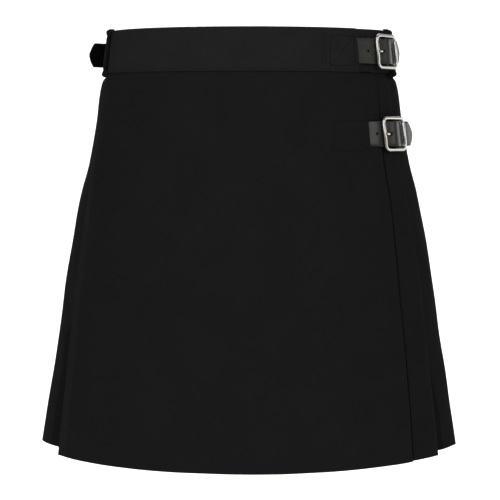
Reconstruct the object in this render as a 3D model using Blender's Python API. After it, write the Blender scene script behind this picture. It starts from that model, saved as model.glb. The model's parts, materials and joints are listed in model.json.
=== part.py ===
"""Scottish kilt, filled out on a hollow form as if it were worn.

Metres, +Z up. The front faces -Y and the buckled side is at +X. The origin is the middle of
the waist, at half the height of the waistband. Angles are in degrees round the waist: 0 is the
middle of the front, 90 the +X hip, 180 the middle of the back and 270 (or -90) the -X hip.
A depth is a distance inwards from the outermost surface of the garment at that height.
"""
import math
from collections import namedtuple

import bmesh
import bpy
from mathutils import Vector

# Cloth
CLOTH = 0.0010          # thickness of one layer of kilt cloth
LAYER_GAP = 0.0004      # air between layers that lie on each other
LAYER_STEP = CLOTH + LAYER_GAP
SEAM_GAP = 0.2          # degrees left open where two lengths of cloth are joined
CLEAR = 0.0003          # air between separate pieces

# Pleats
PLEAT_COUNT = 12
UNDERLAP = 0.8          # how far a pleat folds back under itself, as a share of its pitch
LAST_EDGE = 266.8       # edge of the last knife pleat, at the left hip
REVERSE_EDGE = -91.0    # edge of the reverse pleat that meets it
REVERSE_FOLD = 10.0     # degrees that the reverse pleat folds back under itself
APRON_FOLD = 14.0       # degrees that the over apron folds back under its left edge
APRON_STATIONS = 15     # steps across an apron
APRON_CORNER = 6.0      # least width of the apron's strip beyond the end of its band
SEAM_BACK = 8.5         # degrees from the apron's right edge back to the hidden seam
PLEAT_VARIATION = 0.14  # how unevenly the pleats open below the stitching
PLEATS_PER_LENGTH = 4   # pleats in each of the lengths of cloth that make the back
LENGTH_END = 0.5        # degrees that the last length runs on past the last pleat's edge
HEM_RISE = 0.0040       # how much higher the hem lies at the hips, where the skirt flares most

Section = namedtuple(
    "Section",
    "height half_width half_depth left_fold right_edge first_pleat "
    "pleat_lift apron_lift left_lift under_depth under_edge tuck")

# One row for each height of the skirt. A lift is how far an edge stands out from what is under
# it, and tuck is 1 where the cloth goes up inside the waistband.
SECTIONS = (
    Section(-0.0190, 0.1830, 0.1268, -78.0, 57.2, 67.8, 0.0030, 0.0016, 0.0032, 0.0062, -50.0, 1.0),
    Section(-0.0275, 0.1839, 0.1284, -78.0, 57.0, 67.6, 0.0030, 0.0016, 0.0032, 0.0062, -50.0, 1.0),
    Section(-0.0380, 0.1905, 0.1330, -77.6, 56.6, 67.3, 0.0030, 0.0017, 0.0032, 0.0062, -49.6, 0.5),
    Section(-0.0900, 0.1988, 0.1402, -76.0, 55.3, 66.4, 0.0030, 0.0018, 0.0032, 0.0052, -48.0, 0.0),
    Section(-0.1430, 0.2083, 0.1463, -73.5, 53.7, 65.2, 0.0031, 0.0018, 0.0034, 0.0050, -46.6, 0.0),
    Section(-0.1800, 0.2184, 0.1522, -69.4, 52.9, 64.8, 0.0050, 0.0024, 0.0070, 0.0056, -45.4, 0.0),
    Section(-0.2400, 0.2307, 0.1595, -67.2, 51.8, 65.2, 0.0086, 0.0036, 0.0150, 0.0070, -44.0, 0.0),
    Section(-0.3600, 0.2498, 0.1690, -64.9, 50.5, 63.7, 0.0150, 0.0054, 0.0250, 0.0098, -42.4, 0.0),
    Section(-0.5130, 0.2735, 0.1800, -62.3, 48.4, 61.3, 0.0210, 0.0073, 0.0330, 0.0125, -40.5, 0.0),
)
TUCKED_TOP = SECTIONS[0].height
APRON_CORNER_TOP = -0.0283   # top of the over apron beyond the end of its band
APRON_CORNER_STEP = 0.0008
APRON_CORNER_ROWS = 2        # rows that start lower there

# Waistband
BAND_TOP = 0.027
BAND_BOTTOM = -0.027
BAND_CLOTH = 0.0012
BAND_END = 47.8         # where the over apron's band ends, beside the upper strap
BAND_SEAM = -80.0       # where it meets the back band, under the left loop
UNDER_SEAM = 56.0       # where the back band meets the under apron's band
BAND_STEP = 6.0         # degrees between the band's stations
BAND_ROUND = 0.0010     # bevel along the band's folded top edge
BAND_SHOULDER = TUCKED_TOP + 0.0100    # where the band's back swells over the tucked pleats
FRONT_SWELL = (-62.0, -54.0)    # angles over which the front band thins past the reverse pleat
BACK_SWELL = (UNDER_SEAM - 2.0, UNDER_SEAM + 3.0)
APRON_BAND_THICK = 0.0058
PLEAT_BAND_THICK = 0.0110
UNDER_BAND_THICK = 0.0062
DIVE_DEPTH = 0.0062     # how deep the under band lies behind the over apron's band
DIVE_START = 49.0
DIVE_END = 74.0

BandLevel = namedtuple("BandLevel", "height half_width half_depth")
BAND_UPPER = BandLevel(BAND_TOP, 0.1790, 0.1270)
BAND_LOWER = BandLevel(BAND_BOTTOM, 0.1860, 0.1305)

# Belt loops
LOOP_ANGLES = {"belt_loop_left": -79.6, "belt_loop_right": 78.5}
LOOP_WIDTH = 0.0125
LOOP_THICK = 0.0024
LOOP_CLEAR = 0.0005
LOOP_LIFTS = {"belt_loop_left": 0.0024, "belt_loop_right": 0.0010}   # at its edge to the front
LOOP_TOP = 0.0290
LOOP_BOTTOM = -0.0320
LOOP_BULGE = 0.0012
LOOP_ROWS = 6

# Straps and buckles
STRAP_HALF = 0.0158
STRAP_THICK = 0.0024
STRAP_HOLE = 0.0013      # radius of a punched hole
HOLE_SIDES = 10
PRONG_SLOT = 0.0022      # half height of the hole that the prong comes through
PRONG_HOLE = -0.0104     # where that hole lies along the strap, from the centre bar
PRONG_HOLE_LENGTH = 0.0016   # half the length of its straight sides
FREE_HOLE = 0.0125       # the next hole, beyond the centre bar
CUT_REACH = 0.0120       # how far a hole's cutter reaches to each side of the frame
FRAME_LENGTH = 0.0440    # along the strap
FRAME_HEIGHT = 0.0440
FRAME_BAR = 0.0043       # width of the frame's bar, seen from the front
FRAME_THICK = 0.0032
FRAME_CORNER = 0.0062
FRAME_SIDES = 8          # of the bar's rounded section
FRAME_CORNER_STEPS = 4
CENTRE_BAR = 0.0015      # radius
CENTRE_SINK = 0.0015     # how far the centre bar lies behind the frame
CENTRE_SIDES = 8
CENTRE_TURN = math.radians(10)
BAR_S = (FRAME_LENGTH - FRAME_BAR) / 2
CHAPE_HALF = 0.0135
CHAPE_THICK = 0.0012
CHAPE_TAIL = 0.0165
CHAPE_SEAT = 0.0008      # air under the chape, which leans a little less than the cloth
CHAPE_SLOT = 0.0024      # half height of the slot for the prong
CHAPE_SLOT_ENDS = (-0.0060, 0.0065)
CHAPE_SLOT_REACH = (-0.0090, 0.0060)
CHAPE_NEAR = 0.0100      # where its leaves come together behind the centre bar
CHAPE_LOFT = 0.0006      # how much more they stand off the cloth there
SEARCH_RANGE = (-0.0300, 0.0100)     # heights between which the garment's surface is looked for
SEARCH_STEPS = 40
PRONG_RADIUS = 0.0008
PRONG_TURNS = range(205, 451, 35)    # degrees round the centre bar
# The prong's way from the centre bar up through the strap's hole and onto the first bar, in s and h.
PRONG_PATH = ((-0.0030, 0.0003), (-0.0056, -0.0010), (-0.0080, -0.0012), (-0.0104, 0.0007),
              (-0.0124, 0.0022), (-0.0146, 0.0029), (-0.0170, 0.0029), (-0.0189, 0.0028))
PRONG_WIDTH = 0.0016     # half of it
PRONG_TIP = (0.0016, 0.0015, 0.0010)     # half widths at the last stations
PRONG_FLAT = 0.6         # share of the width that is flat above and below
STRAP_UNDER = FRAME_THICK / 2 + STRAP_THICK / 2 + 0.0009
STRAP_OVER = 0.0037
STRAP_STEPS = 3          # stations between the points that the strap's line is drawn through

Fitting = namedtuple("Fitting", "name bar_x bar_y height turn tilt root_depth first_hole tail")
# The place of each frame's first bar, its height, the strap's direction seen from above, its lean
# out towards the hem, the depth where the strap starts, its hole before the frame and its free end.
FITTINGS = (
    Fitting("upper", 0.1612, -0.0680, -0.0006, 51.0, 5.6, 0.0029, -0.0325, 0.0140),
    Fitting("lower", 0.1693, -0.0855, -0.1037, 47.5, 8.3, 0.0030, -0.0290, 0.0213),
    Fitting("left", -0.1488, 0.0857, -0.0020, -134.0, 5.8, -0.0021, -0.0300, 0.0490),
)
# Angles where each strap lies on the band or on the skirt, from its sewn end.
STRAP_ROOTS = {
    "upper": (33.5, 38.0, 43.0, BAND_END),
    "lower": (34.0, 38.0, 42.0, 46.0),
    "left": (221.0, 226.0),
}
# Rounded tip of a strap: how far from the end, and the share of the full width there.
TIP_SHAPE = ((0.0, 0.25), (0.0010, 0.43), (0.0024, 0.62), (0.0045, 0.81), (0.0062, 0.92), (0.0080, 1.0))
TIP_START = 0.0010       # room between the last full station and the tip

# Slit in the over apron that the lower strap comes out of
LOWER_SLIT = (48.0, 53.2)    # degrees across it
SLIT_PASS = ((LOWER_SLIT[0], 0.0029), (LOWER_SLIT[1] - 0.6, -0.0018))   # the strap's way through
SLIT_ROOM = 0.0010       # above and below the strap
SLIT_DEPTHS = (-0.0040, 0.0042)

COLOURS = {
    "wool": ((0.0105, 0.0105, 0.0110), 0.85, 0.0),
    "band": ((0.0140, 0.0140, 0.0145), 0.80, 0.0),
    "leather": ((0.0200, 0.0210, 0.0190), 0.45, 0.0),
    "nickel": ((0.72, 0.70, 0.66), 0.14, 1.0),
}


def clear_scene():
    """Remove every object that the scene starts with."""
    for item in list(bpy.data.objects):
        bpy.data.objects.remove(item, do_unlink=True)


def make_material(name, finish):
    """Make the material of one node from a named finish."""
    colour, roughness, metallic = COLOURS[finish]
    material = bpy.data.materials.new(name)
    material.use_nodes = True
    shader = material.node_tree.nodes["Principled BSDF"]
    shader.inputs["Base Color"].default_value = (*colour, 1.0)
    shader.inputs["Roughness"].default_value = roughness
    shader.inputs["Metallic"].default_value = metallic
    return material


def add_object(name, bm, finish):
    """Turn a bmesh into a named object with its own material."""
    bmesh.ops.recalc_face_normals(bm, faces=bm.faces)
    mesh = bpy.data.meshes.new(name)
    bm.to_mesh(mesh)
    bm.free()
    mesh.shade_smooth()
    mesh.set_sharp_from_angle(angle=math.radians(40))
    mesh.materials.append(make_material(name + "_finish", finish))
    item = bpy.data.objects.new(name, mesh)
    bpy.context.scene.collection.objects.link(item)
    return item


# ---------------------------------------------------------------- outlines

def ellipse_point(half_width, half_depth, angle, depth):
    """Plan point at an angle round an ellipse, moved inwards by depth."""
    turn = math.radians(angle)
    normal = Vector((math.sin(turn) / half_width, -math.cos(turn) / half_depth))
    normal.normalize()
    point = Vector((half_width * math.sin(turn), -half_depth * math.cos(turn)))
    return point - normal * depth


def offset_line(points, distance):
    """Offset an open plan line to its right by distance, with mitred corners."""
    result = []
    last = len(points) - 1
    for index, point in enumerate(points):
        sides = []
        if index > 0:
            sides.append((point - points[index - 1]).normalized())
        if index < last:
            sides.append((points[index + 1] - point).normalized())
        normals = [Vector((side.y, -side.x)) for side in sides]
        mitre = sum(normals, Vector((0.0, 0.0))).normalized()
        result.append(point + mitre * (distance / mitre.dot(normals[0])))
    return result


def smooth_line(points, steps):
    """Points along a Catmull-Rom curve through the given plan points."""
    ends = [points[0] * 2 - points[1]] + points + [points[-1] * 2 - points[-2]]
    result = []
    for index in range(len(points) - 1):
        before, start, end, after = ends[index:index + 4]
        for step in range(steps):
            t = step / steps
            result.append(0.5 * (2 * start + (end - before) * t
                                 + (2 * before - 5 * start + 4 * end - after) * t ** 2
                                 + (3 * start - before - 3 * end + after) * t ** 3))
    result.append(points[-1])
    return result


def smooth_step(low, high, value):
    """Rise smoothly from 0 at low to 1 at high."""
    share = min(max((value - low) / (high - low), 0.0), 1.0)
    return share * share * (3 - 2 * share)


def divide(start, end, count):
    """Angles from start to end, in count equal steps."""
    return [start + (end - start) * index / count for index in range(count + 1)]


def spread(start, end, step):
    """Evenly spaced angles from start to end, about step apart."""
    return divide(start, end, max(1, round(abs(end - start) / step)))


def loft(rings, places=None):
    """Closed body through equal rings of points, with both ends filled as strips.

    Places say how far each point of a ring is along the cloth. With them the faces are cut into
    triangles along the diagonal towards the larger place, so that both faces of a wall, and layers
    folded on each other, twist alike.
    """
    bm = bmesh.new()
    rows = [[bm.verts.new(point) for point in ring] for ring in rings]
    size = len(rows[0])
    for upper, lower in zip(rows, rows[1:]):
        for index in range(size):
            following = (index + 1) % size
            corners = (upper[index], lower[index], lower[following], upper[following])
            if places is None:
                bm.faces.new(corners)
            elif places[following] > places[index]:
                bm.faces.new(corners[:3])
                bm.faces.new((corners[0], corners[2], corners[3]))
            else:
                bm.faces.new((corners[0], corners[1], corners[3]))
                bm.faces.new(corners[1:])
    half = size // 2
    for row in (rows[0], rows[-1]):
        for index in range(half - 1):
            bm.faces.new((row[index], row[index + 1], row[size - 2 - index], row[size - 1 - index]))
    return bm


# ---------------------------------------------------------------- folded cloth

def dive(angle):
    """Depth of the under band, which sinks behind the over apron's band."""
    return DIVE_DEPTH * (1 - smooth_step(DIVE_START, DIVE_END, angle))


def pleat_edges(section):
    """Angles of the pleats' edges, evenly spaced along the cloth after the first."""
    start, end = section.first_pleat, LAST_EDGE
    samples = spread(start, end, 0.5)
    points = [ellipse_point(section.half_width, section.half_depth, angle, 0.0) for angle in samples]
    lengths = [0.0]
    for first, second in zip(points, points[1:]):
        lengths.append(lengths[-1] + (second - first).length)
    edges = []
    for number in range(PLEAT_COUNT):
        target = lengths[-1] * number / (PLEAT_COUNT - 1)
        index = next(i for i, length in enumerate(lengths) if length >= target - 1e-9)
        edges.append(samples[index])
    return edges


def pleat_lift(section, number):
    """How far one pleat's edge stands out from the next face, a little uneven below the fell."""
    stitched = SECTIONS[0].pleat_lift
    variation = 1 + PLEAT_VARIATION * math.sin(2.4 * number)
    return stitched + (section.pleat_lift - stitched) * variation


def pleated_lengths(section):
    """Angles and depths along the pleated cloth, one list for each length of it.

    Each pleat has a face, a layer folded back under its edge and the start of the next face,
    and all three layers share the same angles, so that they stay parallel.
    """
    lengths = []
    start = section.right_edge - SEAM_BACK
    valley = section.apron_lift
    path = [(start, section.under_depth), (section.right_edge, valley)]
    previous = section.right_edge
    edges = pleat_edges(section)
    for number, edge in enumerate(edges):
        following = edges[number + 1] if number + 1 < PLEAT_COUNT else edge + (edge - previous)
        crease_angle = edge - UNDERLAP * (edge - previous)
        middle = (crease_angle + edge) / 2
        rise = valley * (edge - crease_angle) / (edge - previous)
        lift = pleat_lift(section, number)
        slope = lift * (1 + (edge - crease_angle) / (following - edge))
        crease = max(slope, rise + 2 * LAYER_STEP)
        path += [(crease_angle, rise), (middle, rise / 2), (edge, 0.0), (edge, LAYER_STEP)]
        path += [(middle, crease / 2), (crease_angle, crease - LAYER_STEP)]
        path += [(crease_angle, crease), (middle, (crease + lift) / 2), (edge, lift)]
        if (number + 1) % PLEATS_PER_LENGTH == 0 and number + 1 < PLEAT_COUNT:
            seam = edge + (following - edge) * (1 - UNDERLAP) / 2
            depth = lift * (following - seam) / (following - edge)
            lengths.append(path + [(seam - SEAM_GAP / 2, depth)])
            path = [(seam + SEAM_GAP / 2, depth)]
        valley = lift
        previous = edge
    lengths.append(path + [(LAST_EDGE + LENGTH_END, valley)])
    tucked = []
    for path in lengths:
        tucked.append([(angle, depth + section.tuck * dive(angle)
                        if angle >= section.right_edge else depth) for angle, depth in path])
    return tucked


def over_apron_path(section):
    """Angles and depths from the hidden seam at the left hip round to the free right edge."""
    fold = section.left_fold
    turned = fold + APRON_FOLD
    middle = (fold + turned) / 2
    inner = REVERSE_EDGE + REVERSE_FOLD
    face_depth = section.left_lift * (inner - REVERSE_EDGE) / (fold - REVERSE_EDGE)
    crease = max(section.left_lift * 1.1, 2 * LAYER_STEP)
    under = face_depth + LAYER_STEP
    path = [(LAST_EDGE + LENGTH_END + SEAM_GAP - 360.0, section.pleat_lift + 0.0002)]
    path += [(inner, under + LAYER_STEP), (inner, under), (REVERSE_EDGE, LAYER_STEP)]
    path += [(REVERSE_EDGE, 0.0), (inner, face_depth), (fold, section.left_lift)]
    path += [(middle, (section.left_lift + crease) / 2), (turned, crease)]
    path += [(turned, crease - LAYER_STEP), (middle, crease / 2), (fold, LAYER_STEP)]
    path += [(fold, 0.0), (middle, 0.0), (turned, 0.0)]
    corner = min(BAND_END, section.right_edge - APRON_CORNER)
    path += [(angle, 0.0) for angle in divide(turned, corner - 1.0, APRON_STATIONS)[1:]]
    path += [(corner + 1.0, 0.0), (section.right_edge, 0.0)]
    return path


def under_apron_path(section):
    """Angles and depths of the hidden inner front, to its seam under the over apron."""
    end = section.right_edge - SEAM_BACK - SEAM_GAP
    return [(angle, section.under_depth) for angle in divide(section.under_edge, end, APRON_STATIONS)]


def cloth_wall(name, paths, height_of, finish):
    """One length of cloth: a wall along a folded path at each height."""
    counts = {len(path) for path in paths}
    if len(counts) != 1:
        raise ValueError(name + ": the rows differ")
    rings = []
    for section, path in zip(SECTIONS, paths):
        line = [ellipse_point(section.half_width, section.half_depth, angle, depth + CLOTH / 2)
                for angle, depth in path]
        outer = offset_line(line, CLOTH / 2)
        inner = offset_line(line, -CLOTH / 2)
        heights = [height_of(section, angle) for angle, _ in path]
        ring = [(point.x, point.y, height) for point, height in zip(outer, heights)]
        ring += [(point.x, point.y, height) for point, height in zip(reversed(inner), reversed(heights))]
        rings.append(ring)
    angles = [angle for angle, _ in paths[0]]
    return add_object(name, loft(rings, angles + angles[::-1]), finish)


def row_height(section, angle):
    """Height of a row, which is level all round but for the hem."""
    if section is SECTIONS[-1]:
        return section.height + HEM_RISE * math.sin(math.radians(angle)) ** 2
    return section.height


def apron_height(section, angle):
    """Height of the over apron's rows, which start lower beyond the end of its band."""
    row = SECTIONS.index(section)
    if row < APRON_CORNER_ROWS and angle > BAND_END:
        return APRON_CORNER_TOP - row * APRON_CORNER_STEP
    return row_height(section, angle)


def make_cloth():
    """The pleated cloth in three lengths, the over apron and the under apron."""
    rows = [pleated_lengths(section) for section in SECTIONS]
    for index, name in enumerate(("pleats_right", "pleats_back", "pleats_left")):
        cloth_wall(name, [row[index] for row in rows], row_height, "wool")
    apron = cloth_wall("over_apron", [over_apron_path(section) for section in SECTIONS],
                       apron_height, "wool")
    cloth_wall("under_apron", [under_apron_path(section) for section in SECTIONS],
               row_height, "wool")
    return apron


# ---------------------------------------------------------------- waistband

def band_point(height, angle, depth):
    """Point on the waistband's outer surface, moved inwards by depth."""
    share = (BAND_TOP - height) / (BAND_TOP - BAND_BOTTOM)
    half_width = BAND_UPPER.half_width + share * (BAND_LOWER.half_width - BAND_UPPER.half_width)
    half_depth = BAND_UPPER.half_depth + share * (BAND_LOWER.half_depth - BAND_UPPER.half_depth)
    point = ellipse_point(half_width, half_depth, angle, depth)
    return Vector((point.x, point.y, height))


def front_thickness(angle):
    """Thickness of the over apron's band, more where the reverse pleat goes up into it."""
    swell = 1 - smooth_step(*FRONT_SWELL, angle)
    return APRON_BAND_THICK + (PLEAT_BAND_THICK - APRON_BAND_THICK) * swell


def back_thickness(angle):
    """Thickness of the back band, less towards its seam with the under band."""
    swell = smooth_step(*BACK_SWELL, angle)
    thin = UNDER_BAND_THICK + LAYER_STEP
    return thin + (PLEAT_BAND_THICK - thin) * swell


def make_band(name, angles, depth_of, thickness_of):
    """Band cloth folded over at the top, as a U with the skirt's top edge inside it."""
    rings = []
    for angle in angles:
        start = depth_of(angle)
        end = start + thickness_of(angle)
        top_end = min(end, start + APRON_BAND_THICK)
        lining = BAND_TOP - BAND_CLOTH - BAND_ROUND
        profile = (
            (start, BAND_BOTTOM), (start, BAND_TOP - BAND_ROUND), (start + BAND_ROUND, BAND_TOP),
            (top_end - BAND_ROUND, BAND_TOP), (end, BAND_SHOULDER), (end, BAND_BOTTOM),
            (end - BAND_CLOTH, BAND_BOTTOM), (end - BAND_CLOTH, BAND_SHOULDER - BAND_ROUND),
            (top_end - BAND_CLOTH, lining), (start + BAND_CLOTH, lining),
            (start + BAND_CLOTH, BAND_SHOULDER - BAND_ROUND), (start + BAND_CLOTH, BAND_BOTTOM))
        rings.append([band_point(height, angle, depth) for depth, height in profile])
    half = list(range(6))
    return add_object(name, loft(rings, half + half[::-1]), "band")


def make_bands():
    """The over apron's band, the back band and the under apron's band."""
    front = spread(BAND_SEAM, BAND_END, BAND_STEP)
    back = spread(UNDER_SEAM, 360.0 + BAND_SEAM - SEAM_GAP, BAND_STEP)
    under = spread(SECTIONS[0].under_edge, UNDER_SEAM - SEAM_GAP, BAND_STEP)
    make_band("waistband_front", front, lambda angle: 0.0, front_thickness)
    make_band("waistband_back", back, dive, back_thickness)
    make_band("waistband_under", under, dive, lambda angle: UNDER_BAND_THICK)


def make_loops():
    """Two belt loops of folded cloth, sewn over the band at the hips."""
    half = math.degrees(LOOP_WIDTH / 2 / BAND_LOWER.half_depth)
    for name, angle in LOOP_ANGLES.items():
        stations = [(angle + half * side, LOOP_LIFTS[name] * (1 - side * math.copysign(1.0, angle)) / 2)
                    for side in (-1, 0, 1)]
        rings = []
        for row in range(LOOP_ROWS + 1):
            share = row / LOOP_ROWS
            height = LOOP_TOP + (LOOP_BOTTOM - LOOP_TOP) * share
            stand = LOOP_CLEAR + LOOP_BULGE * math.sin(math.pi * share)
            outer = [band_point(height, where, -stand - lift - LOOP_THICK) for where, lift in stations]
            inner = [band_point(height, where, -stand - lift) for where, lift in reversed(stations)]
            rings.append(outer + inner)
        add_object(name, loft(rings), "band")


# ---------------------------------------------------------------- straps and buckles

class Place:
    """Where a buckle lies: s runs along the strap, v up the garment and h outwards."""

    def __init__(self, fitting):
        turn = math.radians(fitting.turn)
        self.lean = math.radians(fitting.tilt)
        self.along = Vector((math.cos(turn), math.sin(turn)))
        self.out = Vector((math.sin(turn), -math.cos(turn)))
        first_bar = Vector((fitting.bar_x, fitting.bar_y))
        self.centre = first_bar + self.along * BAR_S
        self.height = fitting.height

    def plan(self, s, h):
        """Plan point at s along the strap and h outwards."""
        return self.centre + self.along * s + self.out * h

    def point(self, s, v, h):
        """Point in space at s along, v up and h out."""
        return self.lifted(self.plan(s, h), self.out, v, 0.0)

    def lifted(self, plan, out, v, h):
        """Point that lies v up the leaning garment and h outwards from a plan point."""
        flat = plan + out * (h * math.cos(self.lean) - v * math.sin(self.lean))
        return Vector((flat.x, flat.y, self.height + v * math.cos(self.lean) + h * math.sin(self.lean)))


def ribbon(name, place, line, half_heights, thickness, finish):
    """Flat strip of leather along a plan line."""
    outer, inner = offset_line(line, thickness / 2), offset_line(line, -thickness / 2)
    rings = []
    for index, half in enumerate(half_heights):
        middle = (outer[index] + inner[index]) / 2
        across = outer[index] - middle
        out = across.normalized()
        reach = across.length
        rings.append([place.lifted(middle, out, half, reach), place.lifted(middle, out, -half, reach),
                      place.lifted(middle, out, -half, -reach), place.lifted(middle, out, half, -reach)])
    return add_object(name, loft(rings), finish)


def strap_line(fitting, place):
    """Plan line of a strap, from its sewn end through the buckle to its tip."""
    angles = STRAP_ROOTS[fitting.name]
    if fitting.name == "lower":
        size = skirt_size(fitting.height)
        root = [ellipse_point(*size, angle, fitting.root_depth) for angle in angles]
        root += [ellipse_point(*size, angle, depth) for angle, depth in SLIT_PASS]
    else:
        root = [band_point(fitting.height, angle, fitting.root_depth).xy for angle in angles]
    local = [place.plan(-BAR_S, -STRAP_UNDER), place.plan(-BAR_S / 2, 0.0),
             place.plan(0.0, STRAP_OVER), place.plan(BAR_S / 2, 0.0), place.plan(BAR_S, -STRAP_UNDER)]
    tail = [place.plan(BAR_S + fitting.tail * share, -STRAP_UNDER) for share in (0.5, 1.0)]
    return smooth_line(root + local + tail, STRAP_STEPS)


def skirt_size(height):
    """Half width and half depth of the skirt at a height."""
    for above, below in zip(SECTIONS, SECTIONS[1:]):
        if below.height <= height:
            share = (above.height - height) / (above.height - below.height)
            return (above.half_width + share * (below.half_width - above.half_width),
                    above.half_depth + share * (below.half_depth - above.half_depth))
    raise ValueError("below the hem")


def tip_halves(line):
    """Half heights along a strap, narrowing to a rounded tip."""
    to_end = [0.0]
    for first, second in zip(reversed(line), list(reversed(line))[1:]):
        to_end.append(to_end[-1] + (second - first).length)
    halves = []
    for distance in reversed(to_end):
        share = 1.0
        for (low, low_share), (high, high_share) in zip(TIP_SHAPE, TIP_SHAPE[1:]):
            if distance < high:
                share = low_share + (high_share - low_share) * (distance - low) / (high - low)
                break
        halves.append(STRAP_HALF * share)
    return halves


def add_tip_stations(line):
    """Add stations close to the strap's end, where the tip curves."""
    end, before = line[-1], line[-2]
    step = (before - end).normalized()
    kept = [point for point in line[:-1] if (point - end).length > TIP_SHAPE[-1][0] + TIP_START]
    return kept + [end + step * distance for distance, _ in reversed(TIP_SHAPE)]


def cut(item, cutter_bm):
    """Cut a hole through an object and bake the result into its mesh."""
    bmesh.ops.recalc_face_normals(cutter_bm, faces=cutter_bm.faces)
    mesh = bpy.data.meshes.new("cutter")
    cutter_bm.to_mesh(mesh)
    cutter_bm.free()
    cutter = bpy.data.objects.new("cutter", mesh)
    bpy.context.scene.collection.objects.link(cutter)
    combine(item, cutter, "DIFFERENCE")


def combine(item, other, operation):
    """Apply a Boolean with another object, which is then removed."""
    modifier = item.modifiers.new("combine", "BOOLEAN")
    modifier.operation = operation
    modifier.object = other
    bpy.context.view_layer.update()
    evaluated = item.evaluated_get(bpy.context.evaluated_depsgraph_get())
    result = bpy.data.meshes.new_from_object(evaluated)
    item.modifiers.clear()
    item.data = result
    bpy.data.objects.remove(other, do_unlink=True)


def prism(place, outline, low, high):
    """Closed prism between two h levels over an outline of s and v."""
    size = len(outline)
    bm = bmesh.new()
    bottom = [bm.verts.new(place.point(s, v, low)) for s, v in outline]
    top = [bm.verts.new(place.point(s, v, high)) for s, v in outline]
    bm.faces.new(bottom)
    bm.faces.new(top)
    for index in range(size):
        following = (index + 1) % size
        bm.faces.new((bottom[index], bottom[following], top[following], top[index]))
    return bm


def oval(centre_s, half_length, radius):
    """Outline of a slot with round ends, in s and v."""
    points = []
    for index in range(HOLE_SIDES):
        turn = 2 * math.pi * (index + 0.5) / HOLE_SIDES
        side = math.copysign(half_length, math.cos(turn))
        points.append((centre_s + side + radius * math.cos(turn), radius * math.sin(turn)))
    return points


def make_strap(fitting, place):
    """Leather strap with two punched holes and the one that the prong comes through."""
    line = add_tip_stations(strap_line(fitting, place))
    strap = ribbon("strap_" + fitting.name, place, line, tip_halves(line), STRAP_THICK, "leather")
    holes = (oval(fitting.first_hole, 0.0, STRAP_HOLE), oval(PRONG_HOLE, PRONG_HOLE_LENGTH, PRONG_SLOT),
             oval(FREE_HOLE, 0.0, STRAP_HOLE))
    for outline in holes:
        cut(strap, prism(place, outline, -CUT_REACH, CUT_REACH))


def make_frame(fitting, place):
    """Nickel buckle frame with rounded corners and a centre bar."""
    half_s = FRAME_LENGTH / 2 - FRAME_BAR / 2 - FRAME_CORNER
    half_v = FRAME_HEIGHT / 2 - FRAME_BAR / 2 - FRAME_CORNER
    outward = 1 / math.cos(math.pi / FRAME_SIDES)
    section = []
    for index in range(FRAME_SIDES):
        turn = 2 * math.pi * (index + 0.5) / FRAME_SIDES
        section.append((FRAME_BAR / 2 * outward * math.cos(turn), FRAME_THICK / 2 * outward * math.sin(turn)))
    bm = bmesh.new()
    rings = []
    for corner_s, corner_v, start in ((half_s, half_v, 0), (-half_s, half_v, 90),
                                      (-half_s, -half_v, 180), (half_s, -half_v, 270)):
        for turn in divide(start, start + 90, FRAME_CORNER_STEPS):
            across_s, across_v = math.cos(math.radians(turn)), math.sin(math.radians(turn))
            rings.append([bm.verts.new(place.point(
                corner_s + (FRAME_CORNER + across) * across_s,
                corner_v + (FRAME_CORNER + across) * across_v, out)) for across, out in section])
    for index, ring in enumerate(rings):
        following = rings[(index + 1) % len(rings)]
        for side in range(FRAME_SIDES):
            after = (side + 1) % FRAME_SIDES
            bm.faces.new((ring[side], ring[after], following[after], following[side]))
    frame = add_object("buckle_" + fitting.name, bm, "nickel")
    combine(frame, make_centre_bar(place), "UNION")


def make_centre_bar(place):
    """Round bar across the middle of a frame, which the chape and the prong turn on."""
    reach = FRAME_HEIGHT / 2 - FRAME_BAR / 2
    bm = bmesh.new()
    ends = []
    for v in (-reach, reach):
        ring = []
        for index in range(CENTRE_SIDES):
            turn = 2 * math.pi * index / CENTRE_SIDES + CENTRE_TURN
            ring.append(bm.verts.new(place.point(CENTRE_BAR * math.cos(turn), v,
                                                 -CENTRE_SINK + CENTRE_BAR * math.sin(turn))))
        ends.append(ring)
        bm.faces.new(ring)
    for index in range(CENTRE_SIDES):
        after = (index + 1) % CENTRE_SIDES
        bm.faces.new((ends[0][index], ends[0][after], ends[1][after], ends[1][index]))
    return add_object("centre_bar", bm, "nickel")


def make_prong(fitting, place):
    """Prong hooked round the centre bar, with its tip resting on the first bar."""
    radius = CENTRE_BAR + CLEAR + PRONG_RADIUS
    line = []
    for turn in PRONG_TURNS:
        angle = math.radians(turn)
        line.append(Vector((radius * math.cos(angle), -CENTRE_SINK + radius * math.sin(angle))))
    line += [Vector(point) for point in PRONG_PATH]
    widths = [PRONG_WIDTH] * (len(line) - len(PRONG_TIP)) + list(PRONG_TIP)
    rings = []
    for over, under, width in zip(offset_line(line, PRONG_RADIUS), offset_line(line, -PRONG_RADIUS), widths):
        middle = (over + under) / 2
        flat = width * PRONG_FLAT
        rings.append([place.point(s, v, h) for s, v, h in (
            (over.x, flat, over.y), (over.x, -flat, over.y), (middle.x, -width, middle.y),
            (under.x, -flat, under.y), (under.x, flat, under.y), (middle.x, width, middle.y))])
    add_object("prong_" + fitting.name, loft(rings), "nickel")


def surface_height(fitting, place, s):
    """How far behind the frame's middle plane the garment lies at s along the strap."""
    if fitting.name == "lower":
        half_width, half_depth = skirt_size(fitting.height)
    else:
        half_width = band_point(fitting.height, 90.0, 0.0).x
        half_depth = band_point(fitting.height, 180.0, 0.0).y
    low, high = SEARCH_RANGE
    for _ in range(SEARCH_STEPS):
        middle = (low + high) / 2
        point = place.plan(s, middle)
        inside = (point.x / half_width) ** 2 + (point.y / half_depth) ** 2 < 1
        low, high = (middle, high) if inside else (low, middle)
    return low


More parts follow.
